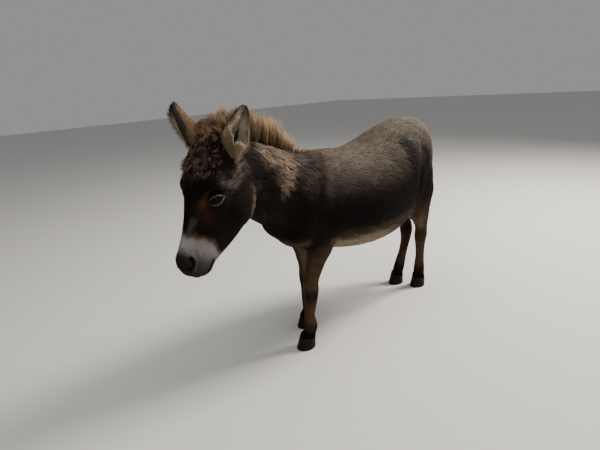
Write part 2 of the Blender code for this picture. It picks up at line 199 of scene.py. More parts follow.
def closed_tube(rings, segments):
    """Quads round a tube, and triangles to its two end points, which follow the rings."""
    i, j = grid(np.arange(rings - 1), np.arange(segments))
    a = i * segments + j
    b = i * segments + (j + 1) % segments
    j = np.arange(segments)
    following = (j + 1) % segments
    start, last = rings * segments, (rings - 1) * segments
    return np.column_stack([a, b, b + segments, a + segments]), np.vstack([
        np.column_stack([following, j, np.full(segments, start)]),
        np.column_stack([last + j, last + following, np.full(segments, start + 1)])])


def halved(quads):
    """Two triangles for each quad."""
    return np.vstack([quads[:, [0, 1, 2]], quads[:, [0, 2, 3]]])


def read(items, key, width, kind=np.int32):
    """One property of every item, in rows of the given width."""
    values = np.zeros(len(items) * width, kind)
    items.foreach_get(key, values)
    return values.reshape(-1, width)


def triangle_normals(vertices, triangles):
    """Each triangle's normal, as long as twice its area."""
    a, b, c = (vertices[triangles[:, k]] for k in range(3))
    return np.cross(b - a, c - a)


def vertex_normals(vertices, triangles):
    normals = triangle_normals(vertices, triangles)
    total = np.zeros_like(vertices)
    for k in range(3):
        for axis in range(3):
            total[:, axis] += np.bincount(triangles[:, k], normals[:, axis], len(vertices))
    return unit(total)


def relax(mesh, passes, keep=0.53):
    """Smooth without shrinking: each pass moves in, then out a little further."""
    vertices = read(mesh.vertices, "co", 3, np.float32).astype(float)
    first, second = read(mesh.edges, "vertices", 2).T
    count = len(vertices)
    links = np.bincount(first, minlength=count) + np.bincount(second, minlength=count)
    links = np.maximum(links, 1)[:, None]
    for _ in range(passes):
        for share in (0.5, -keep):
            around = np.column_stack([
                np.bincount(first, vertices[second, axis], count)
                + np.bincount(second, vertices[first, axis], count) for axis in range(3)])
            vertices = vertices + share * (around / links - vertices)
    mesh.vertices.foreach_set("co", np.asarray(vertices, np.float32).ravel())
    mesh.update()
    return vertices


def set_colours(mesh, name, colours):
    attribute = mesh.attributes.new(name, "FLOAT_COLOR", "POINT")
    rgba = np.ones((len(colours), 4), np.float32)
    rgba[:, :3] = colours
    attribute.data.foreach_set("color", rgba.ravel())


def evaluated(thing):
    """The object with its modifiers applied and removed."""
    graph = bpy.context.evaluated_depsgraph_get()
    mesh = bpy.data.meshes.new_from_object(thing.evaluated_get(graph))
    thing.modifiers.clear()
    thing.data = mesh
    return thing


# ---------------------------------------------------------------- markings

DARK = np.array([0.0100, 0.0060, 0.0042])
BROWN = np.array([0.050, 0.031, 0.021])
SHEEN = np.array([0.165, 0.130, 0.098])
TAN = np.array([0.150, 0.096, 0.058])
FAWN = np.array([0.265, 0.185, 0.125])
GOLD = np.array([0.360, 0.220, 0.100])
CREAM = np.array([0.340, 0.285, 0.205])
MUZZLE = np.array([0.362, 0.325, 0.288])
TAUPE = np.array([0.070, 0.040, 0.021])
GREY = np.array([0.120, 0.105, 0.095])
BLACK = np.array([0.0045, 0.0035, 0.0030])
RUST = np.array([0.060, 0.022, 0.011])
LID = np.array([0.150, 0.112, 0.092])
FOREHEAD = np.array([0.200, 0.125, 0.082])
NOSE = np.array([0.018, 0.015, 0.011])
LIP = np.array([0.030, 0.016, 0.011])
EYE_CORNER = np.array([0.075, 0.033, 0.018])
LOCK_TAN = np.array([0.560, 0.365, 0.245])
IRIS = np.array([0.0075, 0.0038, 0.0022])
IRIS_EDGE = np.array([0.002, 0.0015, 0.0015])
EYE_WHITE = np.array([0.014, 0.009, 0.007])
PUPIL = np.array([0.0012, 0.0012, 0.0016])

# Lines of the muzzle in the head's frame, on its left: the nostril's inner edge, the pale fold
# behind it, the crease behind that, and the mouth
NOSTRIL = [(0.035, 0.020, 0.350), (0.038, 0.011, 0.357), (0.039, 0.006, 0.366),
           (0.036, 0.006, 0.376), (0.031, 0.012, 0.384)]
FOLD = [(0.031, 0.024, 0.341), (0.038, 0.009, 0.351), (0.040, -0.001, 0.366),
        (0.035, -0.005, 0.381), (0.025, -0.002, 0.393)]
CREASE = [(0.035, 0.012, 0.323), (0.038, 0.003, 0.334), (0.040, -0.006, 0.350),
          (0.038, -0.011, 0.367), (0.034, -0.013, 0.381)]
MOUTH = [(0.034, -0.061, 0.341), (0.031, -0.063, 0.352), (0.029, -0.062, 0.368),
         (0.024, -0.058, 0.382), (0.019, -0.050, 0.394), (0.010, -0.044, 0.401),
         (0.0, -0.042, 0.403)]
# Lines of the body in the maker's frame, on its left: the fold where the barrel meets the thigh,
# the dark strip of painted shadow behind it, and the soft fold behind the shoulder, with painted
# shade in it
FLANK = [(0.151, 0.603, 0.704), (0.161, 0.582, 0.673), (0.170, 0.563, 0.643),
         (0.175, 0.553, 0.606), (0.177, 0.546, 0.564), (0.175, 0.542, 0.521),
         (0.164, 0.544, 0.475), (0.113, 0.599, 0.417)]
BEHIND_FLANK = [(x - 0.004, y + 0.030, z) for x, y, z in FLANK]
THIGH_SHADOW = [(0.148, 0.650, 0.690), (0.152, 0.630, 0.640), (0.156, 0.625, 0.590),
         (0.150, 0.628, 0.520), (0.136, 0.640, 0.450)]
SHOULDER = [(0.060, 0.080, 0.757), (0.107, 0.040, 0.728), (0.130, 0.018, 0.665),
            (0.132, 0.006, 0.600)]
# The places of other markings, in the same frame
NECK_SHAG = [(0.034, -0.200, 0.822), (0.048, -0.142, 0.795), (0.056, -0.098, 0.765),
             (0.066, -0.116, 0.730), (0.080, -0.132, 0.698)]
NECK_HOLLOW_SHADE = [(0.060, -0.262, 0.800), (0.066, -0.225, 0.730), (0.066, -0.185, 0.680)]
HAUNCH_LIGHT = [(0.115, 0.725, 0.760), (0.135, 0.725, 0.640)]
HAUNCH_PATCH = [(0.128, 0.519, 0.748), (0.141, 0.526, 0.727), (0.157, 0.527, 0.694),
                (0.168, 0.536, 0.655), (0.172, 0.545, 0.620)]
ARM_SHEEN = [(0.093, 0.114, 0.733), (0.127, 0.076, 0.687), (0.142, 0.046, 0.625),
             (0.146, 0.034, 0.570)]
SHOULDER_SHEEN = [(0.061, -0.020, 0.765), (0.100, 0.000, 0.735), (0.116, -0.020, 0.690)]
CHEST = [(0.0, -0.060, 0.455), (0.105, -0.045, 0.440)]
GASKIN = [(0.118, 0.678, 0.395), (0.090, 0.700, 0.340)]
MID_BODY = 0.3  # how far back the fore legs end and the hind legs begin
# The crest's distance to the left of the middle, by distance behind the fore hooves
NECK_LINE = ((-0.38, -0.335, -0.24, -0.13, -0.04, 0.0), (0.100, 0.092, 0.070, 0.034, 0.006, 0.0))


def blend(colours, colour, share):
    share = np.clip(share, 0, 1)[:, None]
    return colours * (1 - share) + np.asarray(colour) * share


def layered(ground, layers):
    """Lay each (colour, share) over the ground in turn."""
    for colour, share in layers:
        ground = blend(ground, colour, share)
    return ground


def flat(row, count):
    """The same colour or direction for every place."""
    return np.tile(row, (count, 1))


def varied(colours, low, high, rng):
    """Each row lighter or darker by its own random share."""
    return colours * rng.uniform(low, high, len(colours))[:, None]


def body_markings(points, normals):
    """The coat's colour at each point of the body and legs, with painted light and shade over it.
    """
    here = to_maker(points)
    x, y, z = here.T
    side = folded(here)
    beside = np.column_stack([np.abs(x - np.interp(y, *NECK_LINE)), y, z])
    fore = y < MID_BODY
    down = -normals[:, 2]
    streaks = grain(here * np.array([1.0, 0.45, 1.0]), 0.030, 11)
    clouds = grain(here, 0.11, 12)
    wisps = grain(here * np.array([1.0, 1.6, 0.45]), 0.017, 13)

    # the upper body is lighter: partly its sun-faded hair, partly painted sunlight
    top = 0.690 + 0.045 * ease(0.30, 0.62, y) + 0.020 * clouds + 0.016 * streaks
    bleached_and_sunlit = ease(top - 0.13, top + 0.035, z) * (0.60 + 0.40 * ease(-0.2, 0.7, normals[:, 2]))
    bleached_and_sunlit *= ease(-0.04, 0.15, y)
    shaggy = path_distance(beside, NECK_SHAG)
    shaggy = ease(0.064, 0.016, shaggy + 0.014 * streaks + 0.014 * ease(0.76, 0.66, z))
    # painted sheen on the croup top
    croup_sheen = ease(0.735, 0.795, z + 0.008 * streaks) * ease(0.44, 0.56, y)
    patch = near(side, HAUNCH_PATCH, 0.070, 0.016 * streaks + 0.010 * clouds)
    under = ease(0.462, 0.405, z + 0.014 * streaks) * ease(0.02, 0.70, down) * ease(0.0, 0.09, y)
    middle = np.maximum(ease(0.52, 0.28, y + 0.02 * streaks), ease(0.5, 0.9, down))
    belly_line = bump(np.abs(z - 0.452 + 0.012 * streaks), 0.030)
    leg = np.where(fore, ease(0.44, 0.36, z + 0.010 * streaks),
                   ease(0.53, 0.37, z + 0.012 * streaks))
    leg *= ease(0.20, 0.14, np.abs(x))
    leg *= np.maximum(ease(0.35, 0.33, z),
                      np.where(fore, ease(0.13, 0.09, y), ease(0.56, 0.61, y)))
    knee = bump(np.abs(z - np.where(fore, 0.220, 0.275)), 0.050) * ease(0.45, 0.10, normals[:, 1])
    fetlock = ease(0.060, 0.0, z + 0.012 * streaks - np.where(fore, 0.065, 0.085))
    inner = leg * ease(0.1, 0.8, -normals[:, 0] * np.sign(x)) * ease(0.13, 0.20, z)

    return layered(flat(DARK, len(points)), [
        # the back, croup and shoulder top: sun-faded hair, with painted sunlight stronger where it
        # faces up
        (SHEEN * 0.80, 0.85 * bleached_and_sunlit * (0.90 + 0.16 * streaks)),
        (BROWN, 0.40 * ease(0.0, 0.8, clouds) * ease(0.40, 0.62, z)),
        # shaggy tan hair on the side of the neck, below the mane
        (FAWN * 0.62, 0.92 * shaggy * ease(-1.1, 0.3, 0.5 * streaks + 0.8 * wisps)),
        (FAWN * 1.25, 0.75 * shaggy * ease(0.0, 0.9, wisps)),
        # painted shade in the groove between the jaw and the neck
        (BLACK, 0.75 * near(beside, NECK_HOLLOW_SHADE, 0.030)),
        # croup and haunch, with painted sheen, the dark patch before the thigh and painted shadow
        (SHEEN * [1.0, 1.04, 1.08], 0.50 * croup_sheen * ease(-0.6, 0.6, streaks + 0.4)),
        # painted sunlight on the rear of the haunch
        (SHEEN * 0.8, 0.70 * near(side, HAUNCH_LIGHT, 0.060)),
        (BLACK * 1.8, 0.95 * ease(0.05, 0.85, patch)),
        # painted shadow in the strip between the barrel's fold and the thigh
        (DARK, 0.90 * near(side, THIGH_SHADOW, 0.046) * ease(0.70, 0.66, y)),
        # a painted rim of sunlight along the fold where the barrel meets the thigh
        (SHEEN * 0.8, 0.45 * near(side, FLANK, 0.0085) * ease(0.70, 0.64, z)),
        # shoulder and barrel: painted shade in the fold and on the lower barrel, painted sheen
        (DARK, 0.80 * near(side, SHOULDER, 0.034, 0.006 * streaks)),
        (SHEEN * 0.62, 0.55 * near(side, ARM_SHEEN, 0.034) * ease(0.56, 0.66, z)
         * ease(-1.0, 0.5, streaks)),
        # painted shade on the lower barrel
        (BLACK * 0.8, 0.80 * ease(0.64, 0.54, z + 0.010 * streaks) * ease(0.36, 0.44, z)
         * ease(0.66, 0.56, y)),
        # painted sheen high on the shoulder
        (SHEEN * 0.72, 0.62 * near(side, SHOULDER_SHEEN, 0.066) * ease(-0.9, 0.6, wisps)),
        # pale belly, and the brown line above it
        (CREAM * [0.80, 0.76, 0.70], 0.88 * under * ease(0.70, 0.58, y) * middle),
        (TAN * 0.45, 0.55 * belly_line * ease(0.05, 0.14, y) * ease(0.60, 0.50, y)
         * ease(0.2, -0.1, normals[:, 2])),
        # legs: taupe with dark knees, fetlocks and coronets
        (TAN, 0.55 * near(side, CHEST, 0.055)),
        (TAUPE * (1 + 0.25 * streaks[:, None]), leg),
        (DARK, np.where(fore, 0.88, 0.42) * leg * knee),
        (BLACK, 0.88 * fetlock),
        (FAWN * 0.72, 0.42 * near(side, GASKIN, 0.045) * ease(0.2, -0.4, normals[:, 1])),
        (CREAM * 0.55, 0.60 * inner * fore),
        # painted shade on the inner sides of the hind legs
        (DARK * 1.4, 0.70 * inner * (y > MID_BODY)),
    ])


def head_markings(points, colours):
    """Muzzle, eye rings, forehead and jaw, over the body's colours."""
    local = to_head(points)
    place = folded(local)
    _, brow, down = place.T
    streaks = grain(points, 0.018, 21)
    spots = grain(points, 0.034, 22)

    # the pale muzzle begins at this distance towards the nose
    edge = 0.286 + 11 * np.clip(-brow - 0.015, 0, 0.05) ** 2 + 0.004 * spots + 0.003 * streaks
    pale = ease(edge - 0.006, edge + 0.010, down)
    cool = ease(0.010, 0.035, brow)[:, None]
    muzzle = MUZZLE * (1 + 0.08 * streaks[:, None]) * (1 + cool * np.array([0.10, 0.18, 0.28]))
    # towards the nose's tip the muzzle darkens: its own darker skin, with painted shade on the
    # front
    muzzle = muzzle * np.interp(down, (0.298, 0.316, 0.334, 0.353, 0.372, 0.392),
                                (0.74, 0.82, 0.52, 0.20, 0.13, 0.09))[:, None]
    rear = np.interp(down, (0.335, 0.343, 0.353, 0.366, 0.382, 0.396),
                     (0.030, 0.018, 0.007, -0.002, -0.006, -0.003))
    nose = ease(0.320, 0.362, down) * ease(rear + 0.001, rear + 0.009, brow)
    chin = ease(-0.058, -0.070, brow) * ease(0.335, 0.350, down)
    eye = np.linalg.norm(place - EYE_PLACE, axis=1)

    def spot(start, end, reach):
        return near(place, (start, end), reach)

    face = layered(flat(DARK * 0.62, len(points)), [
        # below the eye, the forehead, behind the eye and above it, the jaw and the bridge
        (RUST, 0.42 * spot((0.045, 0.035, 0.200), (0.055, 0.010, 0.222), 0.045)),
        # the forehead's golden curls, brightened with painted highlight
        (FOREHEAD, 0.75 * ease(-0.4, 0.9, spots) * bump(np.abs(down - 0.075), 0.085)
         * ease(0.058, 0.080, brow)),
        (RUST * 0.8, 0.35 * ease(0.0, 0.9, streaks) * ease(0.16, 0.02, down)),
        (GREY * [1.10, 1.00, 0.88], 0.78 * ease(-0.9, 0.7, streaks)
         * spot((0.078, -0.016, 0.118), (0.070, -0.040, 0.040), 0.034)),
        (GREY * [1.0, 0.92, 0.84], 0.62 * ease(-0.9, 0.6, streaks)
         * spot((0.078, 0.016, 0.124), (0.078, -0.018, 0.112), 0.026)),
        # the jaw's pale edge: pale hair, with painted rim light
        (TAN * 1.2, 0.65 * spot((0.066, -0.112, 0.085), (0.062, -0.130, 0.165), 0.022)
         * ease(-0.6, 0.5, streaks)),
        (GREY, 0.50 * spot((0.024, 0.040, 0.240), (0.018, 0.042, 0.290), 0.018)
         * (0.85 + 0.25 * streaks)),
        # the pale muzzle, dark lips, and painted shade in the crease, round the nostril and along
        # the mouth
        (TAUPE * 1.3, 0.8 * bump(np.abs(down - edge + 0.004), 0.014)),
        (muzzle, pale),
        # painted shade in the crease behind the fold
        (BLACK * 3, 0.85 * near(place, CREASE, 0.0050)),
        # the nose's front: its darker skin, with painted shade
        (NOSE, 0.94 * nose),
        (MUZZLE * 0.34, 0.75 * near(place, FOLD, 0.0055) * ease(0.388, 0.375, down)),
        # painted shade round and in the nostril
        (BLACK * 0.5, ease(0.010, 0.005, path_distance(place, NOSTRIL))),
        (LIP, 0.88 * ease(0.384, 0.397, down)),
        # painted shade along the mouth's line between the lips
        (BLACK * 1.5, 0.92 * ease(0.0085, 0.0045, path_distance(place, MOUTH))),
        (TAUPE * 0.8, 0.75 * chin),
        # painted shade in the crease above the eye, and the eye's inner corner
        (BLACK, 0.75 * bump(np.abs(eye - 0.031), 0.010) * (down < 0.172)),
        (EYE_CORNER, 0.72 * spot((0.063, 0.051, 0.171), (0.050, 0.041, 0.188), 0.023)),
    ])
    on_head = (near(local, [(0, -0.02, 0.0), (0, -0.03, 0.36)], 0.17) > 0.02) & (down > -0.02)
    neck_side = ease(0.100, 0.150, -brow + 0.25 * down) * ease(0.16, 0.06, down)
    return blend(colours, face, on_head * ease(-0.020, 0.020, down) * (1 - neck_side))


def markings(points, normals):
    return head_markings(points, body_markings(points, normals))


# ---------------------------------------------------------------- the skin

EYE_RADIUS = 0.022
EYE_PLACE = (0.058, 0.006, 0.168)
GAZE = unit([0.80, 0.54, 0.22])
SLIT = unit([-0.26, 0.68, 0.69])  # from the outer corner of the eye to the inner one
SLIT_HALF = 0.0245
LID_RISE = 0.0112
LID_DROP = 0.0105
LID_RADIUS = 0.0240
LID_REACH = 0.0225  # past it the lid falls away from the ball as a cone
LID_FIELD = 0.060  # the lids are shaped within this distance of the gaze
# Where the head's skin is finer, in its own frame: centre and reach
FINE_HEAD = ((0, -0.03, 0.19), 0.235)
FINE_SNOUT = ((0, -0.015, 0.365), 0.072)
FINE_EYE_REACH = 0.046

# Ridges (+) and hollows (-) of the skin: height, the line they run along, and their reach
BODY_RELIEF = [(0.0022, FLANK, 0.018), (-0.0110, BEHIND_FLANK, 0.034), (-0.0035, SHOULDER, 0.022)]
FACE_RELIEF = [
    (0.0028, [(0.072, -0.022, 0.190), (0.052, -0.022, 0.262)], 0.016),  # facial crest
    (-0.0035, [(0.064, 0.030, 0.092), (0.066, 0.010, 0.075)], 0.022),  # hollow above the eye
    (0.0034, [(0.066, 0.050, 0.125), (0.074, 0.030, 0.150)], 0.034),  # brow
    (-0.0042, [(0.0, 0.046, 0.350), (0.016, 0.034, 0.385)], 0.036),  # between the nostrils
    (-0.0022, [(0.052, -0.060, 0.250), (0.060, -0.085, 0.215)], 0.022),  # before the cheek
]
NOSTRIL_REACH = 0.0085
MOUTH_REACH = 0.0052
MUZZLE_RELIEF = [
    (-0.0120, NOSTRIL, NOSTRIL_REACH),
    (-0.0030, [(0.034, 0.022, 0.356), (0.032, 0.022, 0.376)], 0.014),
    (0.0030, FOLD, 0.0060), (-0.0026, CREASE, 0.0050), (-0.0050, MOUTH, MOUTH_REACH),
]


def welded_flesh():
    """Swollen copies of the flesh and the eyes, as one closed surface."""
    work = bmesh.new()
    for node in FLESH + ["eye_left", "eye_right"]:
        part = bmesh.new()
        part.from_mesh(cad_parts[node].data)
        bmesh.ops.remove_doubles(part, verts=part.verts, dist=1e-5)
        bmesh.ops.recalc_face_normals(part, faces=part.faces)
        part.normal_update()
        for vertex in part.verts:
            vertex.co += vertex.normal * SWELL
        copy = bpy.data.meshes.new("copy")
        part.to_mesh(copy)
        part.free()
        work.from_mesh(copy)
        bpy.data.meshes.remove(copy)
    mesh = bpy.data.meshes.new("flesh")
    work.to_mesh(mesh)
    work.free()
    flesh = put("flesh", mesh)
    weld = flesh.modifiers.new("weld", "REMESH")
    weld.mode = "VOXEL"
    weld.voxel_size = SKIN_VOXEL
    return evaluated(flesh)


def coat_depth(points):
    """How far the skin lies inside the tips of the coat."""
    level = points[:, 2]
    body = np.where(level < 0.36, 0.0022 + 0.0038 * ease(0.24, 0.36, level), 0.0060)
    local = to_head(points)
    share = headness(local)
    face = 0.0045 - 0.0030 * ease(0.08, 0.22, local[:, 2])
    return body * (1 - share) + face * share


def refine(mesh, places):
    """Halve the faces round each (centre, reach) of the head."""
    work = bmesh.new()
    work.from_mesh(mesh)
    spots = [(Vector(from_head(centre)), reach) for centre, reach in places]
    edges = [edge for edge in work.edges if any(
        all((end.co - centre).length < reach for end in edge.verts) for centre, reach in spots)]
    bmesh.ops.subdivide_edges(work, edges=edges, cuts=1, use_grid_fill=True)
    bmesh.ops.triangulate(work, faces=[face for face in work.faces if len(face.verts) > 4])
    work.to_mesh(mesh)
    work.free()


def eye_frames():
    """For each side: the eye's centre and its slit, up and gaze directions."""
    for side in (1, -1):
        mirror = np.array([side, 1, 1])
        gaze = GAZE * mirror
        slit = SLIT * mirror
        slit = unit(slit - gaze * (slit @ gaze))
        above = np.cross(gaze, slit) * side
        if above[2] > 0:
            above = -above
        yield side, np.array(EYE_PLACE) * mirror, np.array([slit, above, gaze])


def shape_eyes(vertices):
    """Lids that hug the eyeball, with an almond opening between them."""
    local = to_head(vertices)
    opening = np.zeros(len(vertices))
    rim = np.zeros(len(vertices))
    for _, centre, rows in eye_frames():
        along, above, out = ((local - centre) @ rows.T).T
        upper = above > 0
        across = np.hypot(along, above)
        close = (across < LID_FIELD) & (out > -0.012)
        share = np.clip(np.abs(along) / SLIT_HALF, 0, 1)
        half = np.where(upper, LID_RISE, LID_DROP) * (1 - share ** 2.2)
        inside = (np.abs(along) < SLIT_HALF) & (np.abs(above) < half)
        # points just outside the opening move onto its edge, so that the lids end in a clean line
        beside = ~inside & (np.abs(above) - half < 0.0018) & (out > 0)
        beside &= np.abs(along) < SLIT_HALF * 0.985
        above = np.where(beside, np.sign(above) * (half + 0.00005), above)
        margin = np.hypot(np.maximum(np.abs(along) - SLIT_HALF * 0.96, 0),
                          np.maximum(np.abs(above) - half, 0))
        ball = np.sqrt(np.maximum(LID_RADIUS ** 2 - np.minimum(across, LID_REACH) ** 2, 0))
        ball = ball - np.maximum(across - LID_REACH, 0) * 0.55
        edge = 0.0016 * bump(np.abs(margin - 0.0018), 0.0030)
        crease = np.where(upper, -0.0022 * bump(np.abs(margin - 0.0085), 0.0035),
                          -0.0012 * bump(np.abs(margin - 0.0070), 0.0030))
        take = bump(across - 0.020, 0.026)
        height = out * (1 - take) + (ball + edge + crease) * take
        hole = np.where(across < 0.0205,
                        np.sqrt(np.maximum(EYE_RADIUS ** 2 - across ** 2, 0)) - 0.0050,
                        ball - 0.0045)
        height = np.where(inside, hole, height)
        moved = centre + np.column_stack([along, above, height]) @ rows
        local = np.where(close[:, None], moved, local)
        opening = np.where(close & inside, 1.0, opening)
        ring = ease(0.0040, 0.0018, margin - 0.0030 * upper * (1 - share ** 3))
        ring *= 1 - 0.65 * ease(0.30, 0.95, along / SLIT_HALF)
        rim = np.where(close & ~inside, np.maximum(rim, ring), rim)
    return from_head(local), opening, rim


def relief(side, table):
    """How far the table's ridges and hollows move each place, folded to the left."""
    return sum(height * near(side, path, reach) for height, path, reach in table)


def carve(vertices, normals, place, table):
    """Raise and sink the skin by a table of lines in the frame that `place` leads to."""
    return vertices + normals * relief(folded(place(vertices)), table)[:, None]


def shape_muzzle(vertices, normals):
    """Nostrils with their folds, the mouth's line, and wrinkles on the lip above it."""
    side = folded(to_head(vertices))
    down = side[:, 2]
    depth = relief(side, MUZZLE_RELIEF)
    lips = bump(np.abs(path_distance(side, MOUTH) - 0.0085), 0.0060)
    depth += 0.0018 * lips * ease(0.335, 0.350, down)
    ripples = np.sin(down * 900 + side[:, 1] * 300)
    depth += 0.0003 * ripples * bump(np.abs(down - 0.335), 0.030) * (side[:, 0] > 0.012)
    hole, mouth = near(side, NOSTRIL, NOSTRIL_REACH), near(side, MOUTH, MOUTH_REACH)
    return vertices + normals * depth[:, None], hole, mouth


def make_skin():
    flesh = welded_flesh()
    mesh = flesh.data
    relax(mesh, 26)
    refine(mesh, [FINE_HEAD])
    relax(mesh, 3)
    refine(mesh, [(centre, FINE_EYE_REACH) for _, centre, _ in eye_frames()] + [FINE_SNOUT])
    vertices = relax(mesh, 3)
    mesh.calc_loop_triangles()
    triangles = read(mesh.loop_triangles, "vertices", 3)
    normals = vertex_normals(vertices, triangles)
    vertices = vertices - normals * coat_depth(vertices)[:, None]
    vertices = carve(vertices, normals, to_head, FACE_RELIEF)
    vertices = carve(vertices, normals, to_maker, BODY_RELIEF)
    vertices, opening, rim = shape_eyes(vertices)
    vertices, hole, mouth = shape_muzzle(vertices, vertex_normals(vertices, triangles))
    bpy.data.objects.remove(flesh, do_unlink=True)
    return vertices, triangles, {"opening": opening, "rim": rim, "hole": hole, "mouth": mouth}


# ---------------------------------------------------------------- ears

EAR_LENGTH = 0.184


class Ear:
    """A cupped leaf: root, tip, the way its hollow faces, half its width, how far it sags, the
    side of its front edge, and how far that edge rolls over the opening low down."""

    def __init__(self, root, tip, facing, half_width, sag, front, wrap):
        self.root = np.array(root) + SHIFT
        self.axis = unit(np.array(tip) - np.array(root))
        self.hollow = unit(np.array(facing) - self.axis * (np.array(facing) @ self.axis))
        self.side = np.cross(self.axis, self.hollow)
        self.half_width, self.sag, self.front, self.wrap = half_width, sag, front, wrap

    def leaf(self, t, u):
        """Points of the middle sheet: t from root to tip, u from edge to edge."""
        taper = 1 - 0.62 * np.maximum((t - 0.30) / 0.70, 0) ** 1.3
        half_width = self.half_width * (0.62 + 0.38 * ease(0, 0.30, t)) * taper
        half_width = np.maximum(half_width * np.sqrt(np.maximum(1 - t ** 8, 0)), 0.0020)
        curl = np.radians(40 + 88 * (1 - t) ** 1.2)
        radius = half_width / np.sin(np.minimum(curl, math.pi / 2))
        roll = np.where(u * self.front > 0, 1 + self.wrap * ease(0.66, 0.36, t), 1.0)
        turn = curl * (u * roll + 0.05 * self.front)
        sag = self.sag * np.sin(math.pi * t)
        middle = self.root + self.axis * (EAR_LENGTH * t)[:, None] + self.hollow * sag[:, None]
        sweep = self.side * np.sin(turn)[:, None] + self.hollow * (1 - np.cos(turn))[:, None]
        return middle + sweep * radius[:, None]

    def surface(self, t, u, step=0.004):
        """Point, direction towards the tip, direction across, and the normal into the hollow."""
        t = np.clip(t, step, 1 - step)
        up = unit(self.leaf(t + step, u) - self.leaf(t - step, u))
        across = unit(self.leaf(t, u + step) - self.leaf(t, u - step))
        return self.leaf(t, u), up, across, unit(np.cross(across, up))

    def markings(self, t, u, inner):
        """Tan outside with a dark rim and tip; cream inside with painted shade down its middle."""
        streaks = grain(self.leaf(t, u), 0.016, 31)
        forward = u * self.front
        band = forward + 0.10 * streaks - (0.45 + 0.8 * self.wrap) * ease(0.62, 0.24, t)
        # painted shade down the middle of the hollow
        slit = bump(np.abs(forward + 0.10), 0.22) * ease(0.20, 0.27, t) * ease(0.60, 0.50, t)
        outer = layered(flat(TAN * [1.05, 0.98, 0.90], len(t)), [
            (GOLD * 0.8, 0.55 * ease(0.0, 0.8, streaks) * ease(0.2, -0.4, forward)),
            (DARK * 2.2, 0.92 * ease(0.25, 0.55, band)),
            (CREAM * [0.60, 0.52, 0.42], 1.2 * self.wrap * ease(0.0, 0.7, forward + 0.2 * streaks)
             * ease(0.56, 0.34, t)),
            (GOLD * 0.55, 0.55 * ease(0.15, -0.35, forward) * ease(0.95, 0.75, t)),
            (BROWN, 0.30 * ease(0.30, 0.0, t) * ease(-0.4, 0.6, streaks + 0.2)),
        ])
        hollow = layered(flat(CREAM * [0.92, 0.86, 0.80], len(t)), [
            (GREY, 0.45 * ease(-0.2, 0.8, streaks)),
            (BLACK * 1.2, 0.97 * ease(0.1, 0.6, slit)),
            (TAUPE * 0.8, 0.88 * ease(0.58, 0.80, t + 0.05 * streaks)),
        ])
        edge = ease(0.80, 0.90, forward) * ease(0.35, 0.55, t)
        edge += ease(0.95, 0.99, -forward) * ease(0.3, 0.6, t)
        return layered(np.where(np.reshape(inner, (-1, 1)) > 0.5, hollow, outer), [
            (BROWN * 0.5, 0.90 * edge), (DARK * 0.9, 0.92 * ease(0.84, 0.95, t))])

    def skin(self, rows=44, columns=21, half_wall=0.0016):
        """A thin closed shell about the leaf: its places, triangles and colours."""
        t, u = grid(np.linspace(0.0, 0.985, rows), np.linspace(-1, 1, columns))
        point, _, _, inward = self.surface(t, u)
        wall = half_wall * (1 - 0.75 * ease(0.80, 1.0, np.abs(u)))[:, None]
        count = len(t)
        index = np.arange(count).reshape(rows, columns)
        a, b, c, d = (part.ravel() for part in (
            index[:-1, :-1], index[:-1, 1:], index[1:, 1:], index[1:, :-1]))
        rim = np.concatenate([index[0, :], index[1:, -1], index[-1, -2::-1], index[-2:0:-1, 0]])
        following = np.roll(rim, -1)
        quads = np.vstack([np.column_stack([d, c, b, a]), np.column_stack([a, b, c, d]) + count,
                           np.column_stack([following + count, rim + count, rim, following])])
        inner = np.repeat([1.0, 0.0], count)
        colours = self.markings(np.tile(t, 2), np.tile(u, 2), inner)
        places = np.vstack([point + inward * wall, point - inward * wall])
        return places, halved(quads), colours * 0.8


EARS = {
    "ear_left": Ear((0.118, -0.330, 0.798), (0.105, -0.240, 0.962), (0.88, -0.46, 0.10),
                    0.041, 0.012, -1, 0.60),
    "ear_right": Ear((0.060, -0.322, 0.872), (-0.079, -0.396, 0.992), (-0.62, -0.20, -0.75),
                     0.042, 0.020, 1, 0.0),
}


# ---------------------------------------------------------------- the lie of the coat

